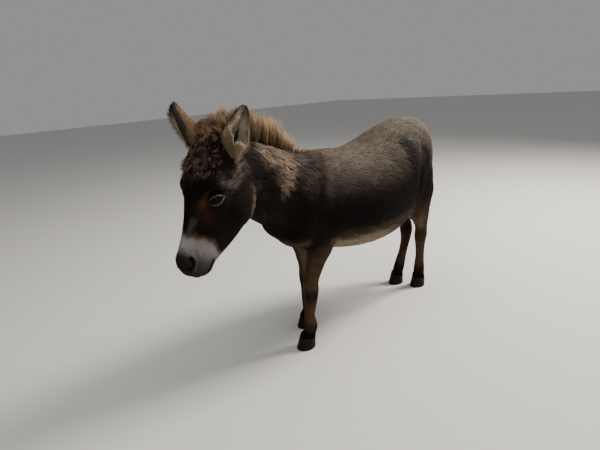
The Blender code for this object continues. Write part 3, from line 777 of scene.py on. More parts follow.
# Each stretch of coat: the sides it grows on, where it runs (start, end, reach), the way it lies,
# the length, width and rise of its tufts, and how far they gather into locks.
ONE, BOTH = (1,), (1, -1)  # the row as it stands; with its mirror image on the right
BODY_COAT = {
    "back": (ONE, (0, 0.08, 0.775), (0, 0.62, 0.835), 0.10,
        (0, 1.0, -0.10), 0.026, 0.0036, 0.9, 0.3),
    "side": (BOTH, (0.18, 0.10, 0.60), (0.18, 0.56, 0.62), 0.13,
        (0, 0.86, -0.50), 0.030, 0.0040, 1.0, 0.3),
    "belly": (ONE, (0, 0.05, 0.36), (0, 0.56, 0.36), 0.09,
        (0, 0.80, -0.35), 0.034, 0.0042, 1.3, 0.5),
    "haunch": (BOTH, (0.14, 0.66, 0.70), (0.12, 0.66, 0.52), 0.11,
        (0, 0.42, -0.90), 0.026, 0.0038, 0.9, 0.25),
    "rump": (ONE, (0, 0.78, 0.80), (0, 0.80, 0.62), 0.09,
        (0, 0.20, -1.0), 0.026, 0.0038, 0.9, 0.25),
    "shoulder": (BOTH, (0.13, 0.01, 0.70), (0.13, 0.02, 0.50), 0.10,
        (0, 0.50, -0.86), 0.032, 0.0042, 1.1, 0.35),
    "chest": (ONE, (0, -0.10, 0.62), (0, -0.09, 0.48), 0.09,
        (0, -0.12, -1.0), 0.038, 0.0044, 1.5, 0.55),
    "neck": (BOTH, (0.15, -0.20, 0.78), (0.10, -0.06, 0.68), 0.09,
        (0.02, 0.72, -0.68), 0.046, 0.0046, 1.6, 0.75),
    "throat": (ONE, (0.085, -0.29, 0.64), (0.01, -0.13, 0.56), 0.09,
        (-0.10, 0.36, -0.92), 0.040, 0.0044, 1.5, 0.6),
    "forearm": (BOTH, (0.065, 0.05, 0.40), (0.065, 0.04, 0.26), 0.07,
        (0, 0.12, -1.0), 0.020, 0.0036, 0.8, 0.2),
    "cannon": (BOTH, (0.065, 0.03, 0.22), (0.065, 0.03, 0.09), 0.07,
        (0, 0.10, -1.0), 0.015, 0.0032, 0.7, 0.1),
    "fetlock": (BOTH, (0.060, 0.02, 0.07), (0.060, 0.02, 0.05), 0.05,
        (0, 0.25, -1.0), 0.017, 0.0028, 1.0, 0.45),
    "gaskin": (BOTH, (0.08, 0.70, 0.42), (0.06, 0.74, 0.30), 0.08,
        (0, 0.35, -1.0), 0.020, 0.0036, 0.8, 0.25),
    "shank": (BOTH, (0.055, 0.74, 0.24), (0.055, 0.72, 0.09), 0.07,
        (0, 0.08, -1.0), 0.015, 0.0032, 0.7, 0.1),
    "hind_fetlock": (BOTH, (0.055, 0.70, 0.07), (0.055, 0.70, 0.05), 0.05,
        (0, 0.25, -1.0), 0.017, 0.0028, 1.0, 0.45),
}
# The same in the head's own frame: left, out of the forehead, towards the nose.
HEAD_COAT = {
    "forehead": (ONE, (0, 0.08, 0.02), (0, 0.09, 0.075), 0.05,
        (0, 0.10, -1.0), 0.022, 0.0030, 1.6, 0.75),
    "whorl": (BOTH, (0.030, 0.070, 0.125), (0.062, 0.045, 0.130), 0.034,
        (1.0, -0.35, 0.10), 0.017, 0.0026, 1.1, 0.3),
    "bridge": (ONE, (0, 0.07, 0.19), (0, 0.05, 0.27), 0.045,
        (0, 0, 1.0), 0.011, 0.0022, 0.7, 0.1),
    "temple": (BOTH, (0.07, 0.00, 0.06), (0.075, 0.0, 0.11), 0.04,
        (0, -0.75, -0.65), 0.018, 0.0028, 1.1, 0.35),
    "under_eye": (BOTH, (0.07, -0.01, 0.20), (0.05, 0.0, 0.27), 0.035,
        (0, -0.40, 0.90), 0.011, 0.0022, 0.7, 0.1),
    "cheek": (BOTH, (0.07, -0.06, 0.14), (0.06, -0.09, 0.20), 0.06,
        (0, -0.70, -0.30), 0.016, 0.0026, 0.9, 0.2),
    "jaw": (BOTH, (0.05, -0.14, 0.12), (0.03, -0.15, 0.22), 0.05,
        (0, -0.95, -0.25), 0.022, 0.0030, 1.4, 0.45),
    "snout": (BOTH, (0.04, -0.02, 0.31), (0.03, -0.03, 0.36), 0.04,
        (0, -0.35, 0.60), 0.0078, 0.0018, 0.6, 0.0),
    "poll": (ONE, (0, 0.05, -0.02), (0, 0.03, -0.05), 0.05,
        (0, -0.2, -1.0), 0.028, 0.0034, 1.6, 0.7),
    "chin": (ONE, (0, -0.08, 0.37), (0, -0.13, 0.30), 0.035,
        (0, -0.60, 0.40), 0.011, 0.0018, 1.2, 0.2),
}


def coat_rows():
    """Every stretch in the model's frame: start, end, reach, lie, then the tufts' measures."""
    for table, origin, axes in ((BODY_COAT, SHIFT, np.eye(3)), (HEAD_COAT, POLL, HEAD)):
        for sides, start, end, reach, lie, *measures in table.values():
            for side in sides:
                mirror = np.array([side, 1, 1])
                start_place, end_place = ((np.array(place) * mirror) @ axes + origin
                                          for place in (start, end))
                yield start_place, end_place, reach, (unit(lie) * mirror) @ axes, measures


def lie_of_coat(points, normals):
    """Blend the rows at each point: lie along the skin, length, width, rise and gathering."""
    rows = list(coat_rows())
    weights = np.array([
        np.exp(-(segment_distance(points, start, end) / reach) ** 2 * 2.2) + 1e-9
        for start, end, reach, _, _ in rows]).T
    weights /= weights.sum(axis=1, keepdims=True)
    lies = weights @ np.array([row[3] for row in rows])
    lies = lies - normals * (lies * normals).sum(axis=1, keepdims=True)
    return unit(lies), *(weights @ measure for measure in np.array([row[4] for row in rows]).T)


# ---------------------------------------------------------------- tufts

def tuft_mesh(name, spine, sides, rises, widths, colours, uv, flatness=0.34, root_colours=None,
              even=0.0):
    """Closed three-sided spikes; spine is (tufts, stations, 3), the last station the tip."""
    count, stations, _ = spine.shape
    rings = stations - 1
    each = rings * 3 + 1
    share = np.linspace(0, 1, stations)[:-1]
    breadth = (1 - share ** 1.6 * 0.75)
    breadth[0] = 0.72
    half = widths[:, None, None] / 2 * breadth[None, :, None]
    side = sides[:, None, :] * half
    lift = rises[:, None, :] * half * (2 * flatness)
    ring = spine[:, :-1]
    around = np.stack([ring - side, ring + lift, ring + side], axis=2)
    vertices = np.concatenate([around.reshape(count, rings * 3, 3), spine[:, -1:]], axis=1)
    quads = [(3 * k + a, 3 * k + b, 3 * k + 3 + b, 3 * k + 3 + a)
             for k in range(rings - 1) for a, b in ((0, 1), (1, 2), (2, 0))]
    last = each - 4
    ends = [(0, 2, 1)] + [(last + a, last + b, each - 1) for a, b in ((0, 1), (1, 2), (2, 0))]
    offsets = (np.arange(count) * each)[:, None, None]
    parts = [(np.array(faces)[None] + offsets).reshape(-1, len(faces[0]))
             for faces in (ends, quads)]
    if np.cross(sides[0], rises[0]) @ (spine[0, -1] - spine[0, 0]) > 0:
        parts = [part[:, ::-1] for part in parts]
    thing = mesh_object(name, vertices.reshape(-1, 3), parts)
    if even:
        # short coat catches the light as the body under it does, with a little relief of its own
        facing = np.tile(np.stack([-sides, rises, sides], axis=1), (1, rings, 1))
        facing = np.concatenate([facing, rises[:, None]], axis=1)
        facing = unit(rises[:, None] * even + facing * (1 - even))
        thing.data.normals_split_custom_set_from_vertices(facing.reshape(-1, 3).tolist())
    fade = np.concatenate([np.repeat(share, 3), [1.0]])
    if root_colours is None:
        tints = colours[:, None, :] * (0.78 + 0.25 * fade ** 0.8)[None, :, None]
    else:
        turn = ease(0.30, 1.0, fade)[None, :, None]
        tints = root_colours[:, None, :] * (1 - turn) + colours[:, None, :] * turn
    set_colours(thing.data, "coat", tints.reshape(-1, 3))
    # each tuft keeps a small patch of the unwrap round its root
    patch = np.array([(s, f) for f in share for s in (0.0, 0.5, 1.0)] + [(0.5, 1.0)]) - 0.5
    places = np.clip((uv[:, None, :] + patch[None] * UV_PATCH).reshape(-1, 2), 0.0005, 0.9995)
    corners = read(thing.data.loops, "vertex_index", 1)[:, 0]
    layer = thing.data.uv_layers.new(name="OFBake")
    layer.data.foreach_set("uv", places[corners].astype(np.float32).ravel())
    return thing


class Coat:
    """The skin as sampled by the coat: surface, shading normals, unwrap and nearest points."""

    def __init__(self, vertices, triangles, uv):
        self.vertices, self.triangles, self.uv = vertices, triangles, uv
        self.normals = vertex_normals(vertices, triangles)
        self.areas = np.linalg.norm(triangle_normals(vertices, triangles), axis=1) / 2
        self.tree = BVHTree.FromPolygons([tuple(v) for v in vertices], triangles.tolist())

    def roots(self, density, seed):
        """Evenly spread places, normals and unwrap; density is per square metre, by triangle."""
        wanted = np.cumsum(self.areas * density)
        start = np.random.default_rng(seed).uniform(0, 1)
        counts = np.diff(np.floor(np.concatenate([[0], wanted]) + start)).astype(int)
        chosen = np.repeat(np.arange(len(counts)), counts)
        rng = np.random.default_rng(seed + 1)
        r1 = np.sqrt(rng.uniform(size=len(chosen)))
        r2 = rng.uniform(size=len(chosen))
        share = np.column_stack([1 - r1, r1 * (1 - r2), r1 * r2])[:, :, None]
        corners = self.triangles[chosen]
        points = (self.vertices[corners] * share).sum(axis=1)
        normals = unit((self.normals[corners] * share).sum(axis=1))
        return points, normals, (self.uv[chosen] * share).sum(axis=1)

    def hug(self, points, height):
        """Move points to the given heights above the nearest skin."""
        out = np.empty_like(points)
        find = self.tree.find_nearest
        heights = np.broadcast_to(height, len(points))
        for i, point in enumerate(points.tolist()):
            place, _, face, _ = find(point)
            a, b, c = self.triangles[face]
            normal = self.normals[a] + self.normals[b] + self.normals[c]
            scale = heights[i] / math.sqrt(normal @ normal)
            out[i] = [at + way * scale for at, way in zip(place, normal)]
        return out

    def uv_near(self, points):
        """The unwrap's place for the skin nearest to each point."""
        faces = [self.tree.find_nearest(point)[2] for point in points.tolist()]
        return self.uv[faces].mean(axis=1)


def lock_leaders(points, spacing, seed):
    """For each root, the number of the root that its lock gathers to."""
    cells = np.floor(points / spacing).astype(np.int64) @ np.array([73856093, 19349663, 83492791])
    order = np.random.default_rng(seed).permutation(len(points))
    _, first = np.unique(cells[order], return_index=True)
    leaders = order[first]
    tree = KDTree(len(leaders))
    for leader in leaders.tolist():
        tree.insert(points[leader], leader)
    tree.balance()
    return np.array([tree.find(point)[1] for point in points.tolist()])


def coat_piece(coat, name, density, seed):
    """Short coat, as dense on each triangle as asked."""
    points, normals, uv = coat.roots(density, seed)
    rng = np.random.default_rng(seed + 2)
    count = len(points)
    lies, length, width, rise, lock = lie_of_coat(points, normals)
    across = np.cross(normals, lies)
    # the lie wanders by up to 16 degrees over the body, and by a few degrees from tuft to tuft
    swirl = np.radians(16) * grain(points, 0.05, seed + 3) + np.radians(7) * rng.normal(size=count)
    lies = unit(lies * np.cos(swirl)[:, None] + across * np.sin(swirl)[:, None])
    across = np.cross(normals, lies)
    length = length * rng.uniform(0.70, 1.15, count)
    width = width * rng.uniform(0.75, 1.2, count)
    clump = grain(points, CLUMP_SIZE, seed + 4)
    leader = lock_leaders(points, LOCK_SIZE, seed + 5)
    bend = across * (clump * (0.15 + 0.35 * lock) + rng.normal(size=count) * 0.05)[:, None]
    tip_height = coat_depth(points) * rise * (0.75 + 0.25 * rng.uniform(size=count) + 0.18 * clump)
    tip_height += lock * (tip_height[leader] * 1.1 - tip_height)
    spine = [points - normals * ROOT_DEPTH]
    for s in (0.45, 1.0):
        reach = points + lies * (length * s)[:, None] + bend * (length * s * s)[:, None]
        reach += (reach[leader] - reach) * (lock * s ** 1.5)[:, None]
        spine.append(coat.hug(reach, tip_height * (1 - (1 - s) ** 2.0) + 0.0003))
    fleck = rng.normal(size=count).clip(-2, 2)
    shade = 1 + 0.05 * fleck + (0.03 + 0.15 * lock) * fleck[leader] + 0.05 * clump
    colours = np.clip(markings(points, normals) * shade[:, None], 0.002, 1)
    return tuft_mesh(name, np.stack(spine, axis=1), across, normals, width, colours, uv, even=0.52)


def long_hair(name, coat, roots, tips, bow, widths, colours, root_colours=None, stations=4):
    """Free locks from roots to tips, bowed sideways by `bow` at their middles."""
    share = np.linspace(0, 1, stations)
    spine = roots[:, None] + (tips - roots)[:, None] * share[None, :, None]
    spine += bow[:, None] * (np.sin(math.pi * share ** 0.9) * 0.9)[None, :, None]
    way = unit(tips - roots)
    side = unit(np.cross(way, unit(bow + 1e-6)))
    return tuft_mesh(name, spine, side, np.cross(side, way), widths, colours, coat.uv_near(roots),
                     0.5, root_colours)


def strands(way, length, share):
    """Steps from each root along its way, by the shares of its length."""
    return way[:, None] * (length[:, None] * share)[:, :, None]


def gather(tips, leader, pull):
    """Draw each tip towards the tip of its lock's leader."""
    return tips + (tips[leader] - tips) * pull


# ---------------------------------------------------------------- hair of the ears

def ear_coat(name, coat, seed):
    """Short tan hair on the back, long cream hair inside, and fringes along the edges."""
    rng = np.random.default_rng(seed)
    ear = EARS[name]
    front, rolled = ear.front, ear.wrap > 0
    batches = []  # along, across, inside, length, width, rise, outwards, wildness, paleness

    count = 3500
    t = rng.uniform(0.0, 0.985, count) ** 0.9
    u = rng.uniform(-1, 1, count)
    batches.append((t, u, 0, rng.uniform(0.009, 0.014, count), 0.0026, 0.14, 0.0, 0.05, None))

    count = 2500
    t = rng.uniform(0.02, 0.95, count)
    u = rng.uniform(-0.98, 0.98, count)
    length = (0.014 + 0.018 * np.abs(u) * ease(0.95, 0.5, t)) * rng.uniform(0.6, 1.2, count)
    length *= 1 - 0.55 * (np.abs(u * front + 0.10) < 0.28) * (t > 0.10) * (t < 0.60)
    batches.append((t, u, 1, length, 0.0024, 0.40, -0.65, 0.10, None))

    count = 1700
    t = rng.uniform(0.02, 0.97, count)
    ahead = rng.uniform(size=count) < (0.35 if rolled else 0.68)
    u = np.where(ahead, front, -front) * rng.uniform(0.93, 1.0, count)
    length = 0.010 + (0.004 if rolled else 0.019) * ahead + 0.010 * ease(0.40, 0.10, t)
    length = length * rng.uniform(0.6, 1.2, count)
    outwards = np.where(ahead, -0.45 if rolled else 1.10, 0.50)
    pale = 0.9 * ease(0.90, 0.70, t) * (ease(0.62, 0.45, t) if rolled else 1.0)
    batches.append((t, u, 1, length, 0.0018, 0.30, outwards, 0.10, pale))

    share = np.linspace(0, 1, 3)
    grown = []  # spines, sides, rises, widths and colours
    for t, u, inside, length, width, rise, outwards, wild, pale in batches:
        point, up, across, inward = ear.surface(t, u)
        face = inward if inside else -inward
        sideways = outwards * np.sign(u) + 3 * wild * rng.normal(size=len(t))
        way = unit(up + across * sideways[:, None])
        length = length * (1 - 0.62 * ease(0.80, 0.98, t))
        spine = (point + face * 0.0012)[:, None] + strands(way, length, share)
        spine = spine + strands(face, length, rise * share ** 1.3)
        tint = ear.markings(t, u, inside)
        if pale is not None:
            tint = blend(tint, CREAM, pale)
        grown.append((spine, np.cross(face, way), face, np.full(len(t), width),
                      varied(tint, 0.75, 1.22, rng)))

    # a curtain of pale hair closes the bottom of the opening
    count = 1000
    t = rng.uniform(-0.04, 0.17, count)
    w = rng.uniform(0, 1, count)[:, None]
    first, second = (ear.leaf(np.clip(t, 0, 1), np.full(count, end)) for end in (-1.0, 1.0))
    base = first * (1 - w) + second * w + ear.axis * (np.minimum(t, 0) * EAR_LENGTH)[:, None]
    base = base + ear.hollow * (0.006 * np.sin(math.pi * w))
    way = unit(ear.axis + ear.hollow * 0.30 + 0.16 * rng.normal(size=(count, 3)))
    length = rng.uniform(0.016, 0.030, count)
    tint = blend(flat(CREAM * [0.80, 0.70, 0.58], count), GREY, 0.7 * rng.uniform(size=count))
    grown.append((base[:, None] + strands(way, length, share),
                  unit(np.cross(ear.hollow, way)), flat(ear.hollow, count),
                  np.full(count, 0.0024), varied(tint, 0.7, 1.2, rng)))
    spine, sides, rises, widths, colours = (np.concatenate(part) for part in zip(*grown))
    return tuft_mesh(name + "_hair", spine, sides, rises, widths, colours,
                     coat.uv_near(spine[:, 0]))


# ---------------------------------------------------------------- mane, forelock and tail

# Along the crest from the withers to the poll: root height and the tips' height above the ground
CREST = [
    (0.000, 0.055, 0.764, 0.782), (0.000, 0.010, 0.760, 0.806), (0.006, -0.040, 0.760, 0.852),
    (0.016, -0.085, 0.775, 0.890), (0.034, -0.135, 0.790, 0.922), (0.055, -0.190, 0.812, 0.946),
    (0.070, -0.240, 0.830, 0.962), (0.083, -0.290, 0.845, 0.970), (0.092, -0.332, 0.852, 0.962),
    (0.098, -0.356, 0.862, 0.912),
]
# The rear edge of the jaw in the head's frame, from under the ear down to the throat
JAW_EDGE = [(0.066, -0.100, 0.085), (0.070, -0.116, 0.120), (0.069, -0.124, 0.150),
            (0.058, -0.134, 0.185)]
# The tail's core: x, y, z and the radius of its hair
TAIL = [
    (0.000, 0.768, 0.792, 0.009), (-0.002, 0.806, 0.768, 0.017), (-0.006, 0.830, 0.710, 0.018),
    (-0.010, 0.832, 0.620, 0.018), (-0.012, 0.820, 0.520, 0.022), (-0.013, 0.800, 0.420, 0.027),
    (-0.014, 0.788, 0.350, 0.023),
]
MANE_SPREAD = 0.016  # from the middle of the mane to its edge
TAIL_LENGTH = 0.52  # along the core, for hair that runs on beyond its end
TAIL_END = 0.290  # the lowest that its tips reach


def mane(coat, count=8200):
    """Dense upright locks, dark at the root and golden at the tip, fanning forward at the poll."""
    rng = np.random.default_rng(41)
    t = rng.uniform(0, 1, count) ** 0.85
    across = rng.normal(size=count).clip(-1.9, 1.9) / 1.9
    rows = along_rows(t, CREST, np.linspace(0, 1, len(CREST)))
    root = rows[:, :3] + SHIFT
    root[:, 0] += across * MANE_SPREAD
    root[:, 2] -= 0.014 + 0.004 * across ** 2
    leader = lock_leaders(root, 0.011, 42)
    lock = rng.normal(size=count).clip(-1.8, 1.8)[leader]
    short = rng.uniform(0, 1, count) ** 2.4
    height = (rows[:, 3] - rows[:, 2]) + 0.014
    height = height * (0.94 - 0.50 * short + 0.045 * lock + 0.045 * rng.normal(size=count))
    height = height * np.interp(t, (0.0, 0.10, 0.17, 0.23, 0.33, 0.45),
                                (0.90, 0.72, 0.80, 1.04, 1.10, 1.0))
    poll = ease(0.80, 1.0, t)
    fan = 0.016 * across + 0.006 * lock + 0.005 * rng.normal(size=count) - 0.012 * poll
    sweep = 0.012 * lock + 0.008 * rng.normal(size=count) - 0.034 * poll
    sweep += 0.014 * ease(0.4, 0.0, t)
    tip = root + np.column_stack([fan, sweep, height])
    tip += (tip[leader] + (root - root[leader]) * 0.5 - tip) * (0.30 + 0.25 * poll)[:, None]
    for ear in EARS.values():
        # strands beside an ear pass behind its back
        from_root = tip - ear.root
        along, ahead = from_root @ ear.axis, from_root @ ear.hollow
        beside = (along > 0) & (along < EAR_LENGTH + 0.02) & (np.abs(from_root @ ear.side) < 0.050)
        back = np.where(beside & (ahead < 0.08), np.maximum(ahead + 0.014, 0), 0)
        tip -= ear.hollow * back[:, None]
    bow = np.column_stack([
        0.003 * rng.normal(size=count) + 0.004 * across,
        0.005 * lock + 0.003 * rng.normal(size=count) + 0.010 * poll, np.zeros(count)])
    golden = rng.uniform(0.10, 1.0, count) ** 1.3 * (1 - 0.5 * short)
    tint = layered(flat(BROWN, count), [(GOLD * 1.15, golden), (TAN * 0.9, 0.5 * poll)])
    lit = np.interp(t, (0, 0.15, 0.22, 0.35, 0.62, 0.80, 1), (0.9, 1.1, 1.9, 1.7, 1.2, 1.1, 1.6))
    tint = varied(tint * lit[:, None] * (1 + 0.22 * lock)[:, None], 0.6, 1.3, rng)
    dark = varied(flat(DARK * 0.8, count), 0.7, 1.5, rng)
    return long_hair("mane_hair", coat, root, tip, bow, rng.uniform(0.0016, 0.0028, count),
                     tint, dark)


def forelock(coat, count=3000):
    """Soft curls from the poll down over the forehead."""
    rng = np.random.default_rng(51)
    place = np.column_stack([rng.normal(size=count) * 0.026, rng.uniform(0.02, 0.07, count),
                             rng.uniform(-0.012, 0.105, count)])
    root = coat.hug(from_head(place), -0.001)
    leader = lock_leaders(root, 0.014, 52)
    lock = rng.normal(size=(count, 3))[leader]
    upright = ease(0.025, -0.020, place[:, 2])
    way = np.column_stack([9 * place[:, 0], 0.50 + 0.5 * upright, 0.62 - 1.1 * upright])
    way = unit(way + 0.32 * lock + 0.12 * rng.normal(size=(count, 3)) - [0, 0.25, 0]) @ HEAD
    length = (0.028 + 0.020 * upright) * rng.uniform(0.6, 1.15, count)
    tip = gather(root + way * length[:, None], leader, 0.38)
    bow = 0.0034 * lock + 0.0015 * rng.normal(size=(count, 3))
    middle = 0.25 + 0.75 * ease(0.050, 0.020, np.abs(place[:, 0]))
    # the curls' own gold and tan, brightened with painted highlight
    tint = layered(flat(DARK * 1.4, count), [
        (GOLD * 1.5, 0.90 * upright * rng.uniform(0, 1, count) ** 0.7),
        (LOCK_TAN, 0.95 * rng.uniform(0, 1, count) ** 1.6 * middle)])
    return long_hair("forelock_hair", coat, root, tip, bow, rng.uniform(0.0012, 0.0022, count),
                     tint, flat(DARK * 1.3, count))


def poll_locks(coat, count=1500):
    """Long tan strands swept from the poll over the base of the right ear."""
    rng = np.random.default_rng(55)
    s = rng.uniform(size=(count, 3))
    root = np.array([0.100, -0.334, 0.886]) + (s - 0.5) * [0.034, 0.040, 0.010] + SHIFT
    leader = lock_leaders(root, 0.008, 56)
    low = s[:, 2:3] * 0.85 + 0.15 * rng.uniform(size=(count, 1))
    tip = (1 - low) * [0.026, -0.364, 0.922] + low * [0.014, -0.400, 0.880] + SHIFT
    loose = rng.normal(size=(count, 3)) * 0.006
    shorter = 0.35 * rng.uniform(size=(count, 1)) ** 1.5
    tip = gather(tip + loose + (root - tip) * shorter, leader, 0.45)
    bow = np.array([0.004, -0.012, 0.024]) * rng.uniform(0.5, 1.3, (count, 1))
    bow = bow + 0.003 * rng.normal(size=(count, 3))
    tint = 2.2 * layered(flat(BROWN * 1.6, count), [
        (GOLD, rng.uniform(0.0, 0.85, count)), (SHEEN * 1.5, 0.60 * rng.uniform(size=count))])
    return long_hair("poll_hair", coat, root, tip, bow, rng.uniform(0.0020, 0.0034, count),
                     tint, flat(BROWN * 0.9, count), 5)


def jaw_hair(coat, count=1300):
    """Pale hair along the rear edge of the jaw, its paleness partly painted rim light."""
    rng = np.random.default_rng(58)
    t = rng.uniform(0, 3, count)
    place = along_rows(t, JAW_EDGE, range(len(JAW_EDGE)))
    place += rng.normal(size=(count, 3)) * [0.004, 0.006, 0.004]
    place[:, 0] *= np.where(rng.uniform(size=count) < 0.5, -1, 1)
    root = coat.hug(from_head(place), -0.0008)
    leader = lock_leaders(root, 0.010, 59)
    way = flat([0.20, -0.80, -0.55], count)
    way[:, 0] *= np.sign(place[:, 0])
    way = unit(way + 0.22 * rng.normal(size=(count, 3))) @ HEAD
    tip = gather(root + way * (0.0135 * rng.uniform(0.4, 1.3, count))[:, None], leader, 0.25)
    bow = 0.002 * rng.normal(size=(count, 3))
    tint = layered(flat(TAN * 0.8, count), [
        (CREAM * 0.85, rng.uniform(0, 0.8, count) * ease(0.3, 1.6, t)),
        (BROWN, 0.8 * (rng.uniform(size=count) < 0.35))])
    return long_hair("jaw_hair", coat, root, tip, bow, rng.uniform(0.0014, 0.0022, count),
                     tint, flat(BROWN * 0.7, count))


def coronet_hair(coat, count=340):
    """Dark hair that hangs over the top of each hoof."""
    rng = np.random.default_rng(67)
    grown = []  # roots, tips and bows
    for leg, (x, _) in LEGS.items():
        low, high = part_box("hoof_" + leg)
        turn = rng.uniform(0, 2 * math.pi, count)
        out = np.column_stack([np.cos(turn), np.sin(turn), np.zeros(count)])
        middle = np.array([x + SHIFT[0], low.y + HOOF_HALF_LENGTH + HOOF_LEAN, 0.0])
        level = 0.052 - 0.0092 * np.sin(turn) + 0.006 * rng.uniform(-1, 1, count)
        start = middle + out * 0.030
        start[:, 2] = level + 0.004 + 0.012 * rng.uniform(0, 1, count)
        end = middle + out * [(high.x - low.x) * 0.430, 0.0318, 0]
        end[:, 2] = level - 0.009 - 0.007 * rng.uniform(0, 1, count) ** 2
        grown.append((coat.hug(start, -0.0005), end + rng.normal(size=(count, 3)) * 0.0007,
                      out * 0.0006))
    roots, tips, bows = (np.concatenate(part) for part in zip(*grown))
    tint = varied(flat(DARK, len(roots)), 0.5, 1.6, rng)
    widths = rng.uniform(0.0018, 0.0030, len(roots))
    return long_hair("coronet_hair", coat, roots, tips, bows, widths, tint, stations=3)


def along_tail(t):
    steps = np.linalg.norm(np.diff(np.array(TAIL)[:, :3], axis=0), axis=1)
    stations = np.concatenate([[0], np.cumsum(steps)])
    return along_rows(t, TAIL, stations / stations[-1])


def round_tail(way):
    """Two directions square to the tail's way."""
    side = unit(np.cross(way, [0, 1, 0]) + [1e-4, 0, 0])
    return side, np.cross(side, way)


def tail_core(segments=20, rings=40):
    """The fleshy dock and the tuft's dark heart, one tapered closed tube."""
    t = np.linspace(0, 1, rings)
    rows = along_tail(t)
    centre = rows[:, :3] + SHIFT
    ways = unit(np.gradient(centre, axis=0))
    side, front = round_tail(ways)
    radius = rows[:, 3] * 0.62 * np.sqrt(np.clip((1.02 - t) * 12, 0, 1))
    turn = np.linspace(0, 2 * math.pi, segments, endpoint=False)
    ring = side[:, None] * np.cos(turn)[:, None] + front[:, None] * np.sin(turn)[:, None]
    vertices = (centre[:, None] + ring * radius[:, None, None]).reshape(-1, 3)
    vertices = np.vstack([vertices, centre[0] - ways[0] * 0.002, centre[-1] + ways[-1] * 0.004])
    walls, ends = closed_tube(rings, segments)
    return vertices, np.vstack([halved(walls), ends]), flat(DARK * 0.6, len(vertices))


def tail_hair(coat, count=5200):
    """Hair down the dock, and the tuft that hangs beyond the core's end."""
    rng = np.random.default_rng(61)
    t = rng.uniform(0, 0.97, count) ** 0.85
    turn = rng.uniform(0, 2 * math.pi, count)
    rows = along_tail(t)
    step = along_tail(np.minimum(t + 0.02, 1))[:, :3] - along_tail(np.maximum(t - 0.02, 0))[:, :3]
    side, front = round_tail(unit(step))
    out = side * np.cos(turn)[:, None] + front * np.sin(turn)[:, None]
    root = rows[:, :3] + SHIFT + out * (rows[:, 3] * 0.58)[:, None]
    tuft = ease(0.30, 0.62, t)
    end = t + (0.026 + 0.075 * tuft) * rng.uniform(0.6, 1.1, count) / TAIL_LENGTH
    reach = along_tail(np.minimum(end, 1))
    tip = reach[:, :3] + SHIFT + out * (reach[:, 3] * rng.uniform(0.45, 0.98, count))[:, None]
    beyond = np.maximum(end - 1, 0)
    tip[:, 2] = np.maximum(tip[:, 2] - beyond * 0.50, TAIL_END + 0.01 * rng.uniform(size=count))
    tip[:, :2] -= out[:, :2] * (rows[:, 3] * 8 * np.minimum(beyond, 0.1))[:, None]
    bow = out * 0.003 + rng.normal(size=(count, 3)) * 0.002
    tint = layered(varied(flat(DARK * 1.2, count), 0.6, 1.8, rng), [
        (BROWN, 0.5 * (1 - tuft)), (SHEEN * 0.75, 0.85 * ease(0.20, 0.02, t))])
    return long_hair("tail_hair", coat, root, tip, bow, rng.uniform(0.0026, 0.0044, count), tint)


# ---------------------------------------------------------------- eyes and hooves

BULGE = 0.030  # how much the clear front stands out, as a share of the eye's radius
BULGE_REACH = 0.75  # radians from the gaze
PUPIL_SPAN = (0.40, 0.20)  # half its length and height, as shares of the radius


def eyeball(side_name, side):
    """A ball with a clear bulge over a brown iris and a level pupil."""
    rings, segments = 55, 72
    centre, rows = next(item[1:] for item in eye_frames() if item[0] == side)
    angle = np.linspace(0, math.pi, rings + 2)[1:-1]
    turn = np.linspace(0, 2 * math.pi, segments, endpoint=False)
    a, b = grid(angle, turn)
    direction = np.column_stack([np.sin(a) * np.cos(b), np.sin(a) * np.sin(b), np.cos(a)])
    direction = np.vstack([direction, [0, 0, 1], [0, 0, -1]])
    from_gaze = np.concatenate([a, [0, math.pi]])
    radius = EYE_RADIUS * (1 + BULGE * bump(from_gaze, BULGE_REACH)) - 0.0003
    place = from_head(centre + (direction * radius[:, None]) @ rows)
    faces = closed_tube(rings, segments)
    ball = mesh_object("eyeball_" + side_name, place,
                       [part[:, ::-1] for part in faces] if side > 0 else faces)
    streak = 0.5 + 0.5 * np.sin(17 * np.arctan2(direction[:, 1], direction[:, 0]) + 40 * from_gaze)
    pupil = np.hypot(direction[:, 0] / PUPIL_SPAN[0], direction[:, 1] / PUPIL_SPAN[1])
    iris = flat(IRIS, len(direction)) * (0.7 + 0.6 * streak)[:, None]
    set_colours(ball.data, "iris", layered(iris, [
        (IRIS_EDGE, ease(0.62, 0.74, from_gaze)),
        (EYE_WHITE, ease(0.86, 1.05, from_gaze)),
        (PUPIL, ease(1.1, 0.9, pupil) * (direction[:, 2] > 0))]))
    return ball


def hoof(leg):
    """The horn wall with growth rings, heels and a flat sole, over the CAD hoof's own size."""
    low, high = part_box("hoof_" + leg)
    half_width = (high.x - low.x) / 2
    middle = np.array([LEGS[leg][0] + SHIFT[0], low.y + HOOF_HALF_LENGTH, 0.0])
    rings, segments = 40, 72
    turn = np.linspace(0, 2 * math.pi, segments, endpoint=False)
    heel = 0.10 * bump(np.abs(turn - math.pi / 2), 0.55)
    rows = []
    for ring in range(rings):
        s = ring / (rings - 1)
        wide = half_width * (1 - 0.14 * s) - 0.0004
        long = HOOF_HALF_LENGTH * (1 - 0.20 * s) - 0.0004
        growth = 0.00035 * math.sin(s * 58) * min(1.0, s * 6) * (1 - 0.5 * s)
        sole = 1.0 if ring else 0.98  # the bearing edge is eased
        across = (wide + growth) * np.cos(turn) * sole
        fore = (long + growth) * np.sin(turn) * (1 - heel * (1 - s) ** 0.5) * sole
        top = HOOF_HEIGHT - TOE_RISE * long * np.sin(turn) + 0.0015 * bump(abs(s - 0.97), 0.06)
        rows.append(middle + np.column_stack([across, HOOF_LEAN * s + fore, top * s]))
    vertices = np.vstack(rows + [middle, middle + [0, HOOF_LEAN, HOOF_HEIGHT]])
    return mesh_object("horn_" + leg, vertices, closed_tube(rings, segments))


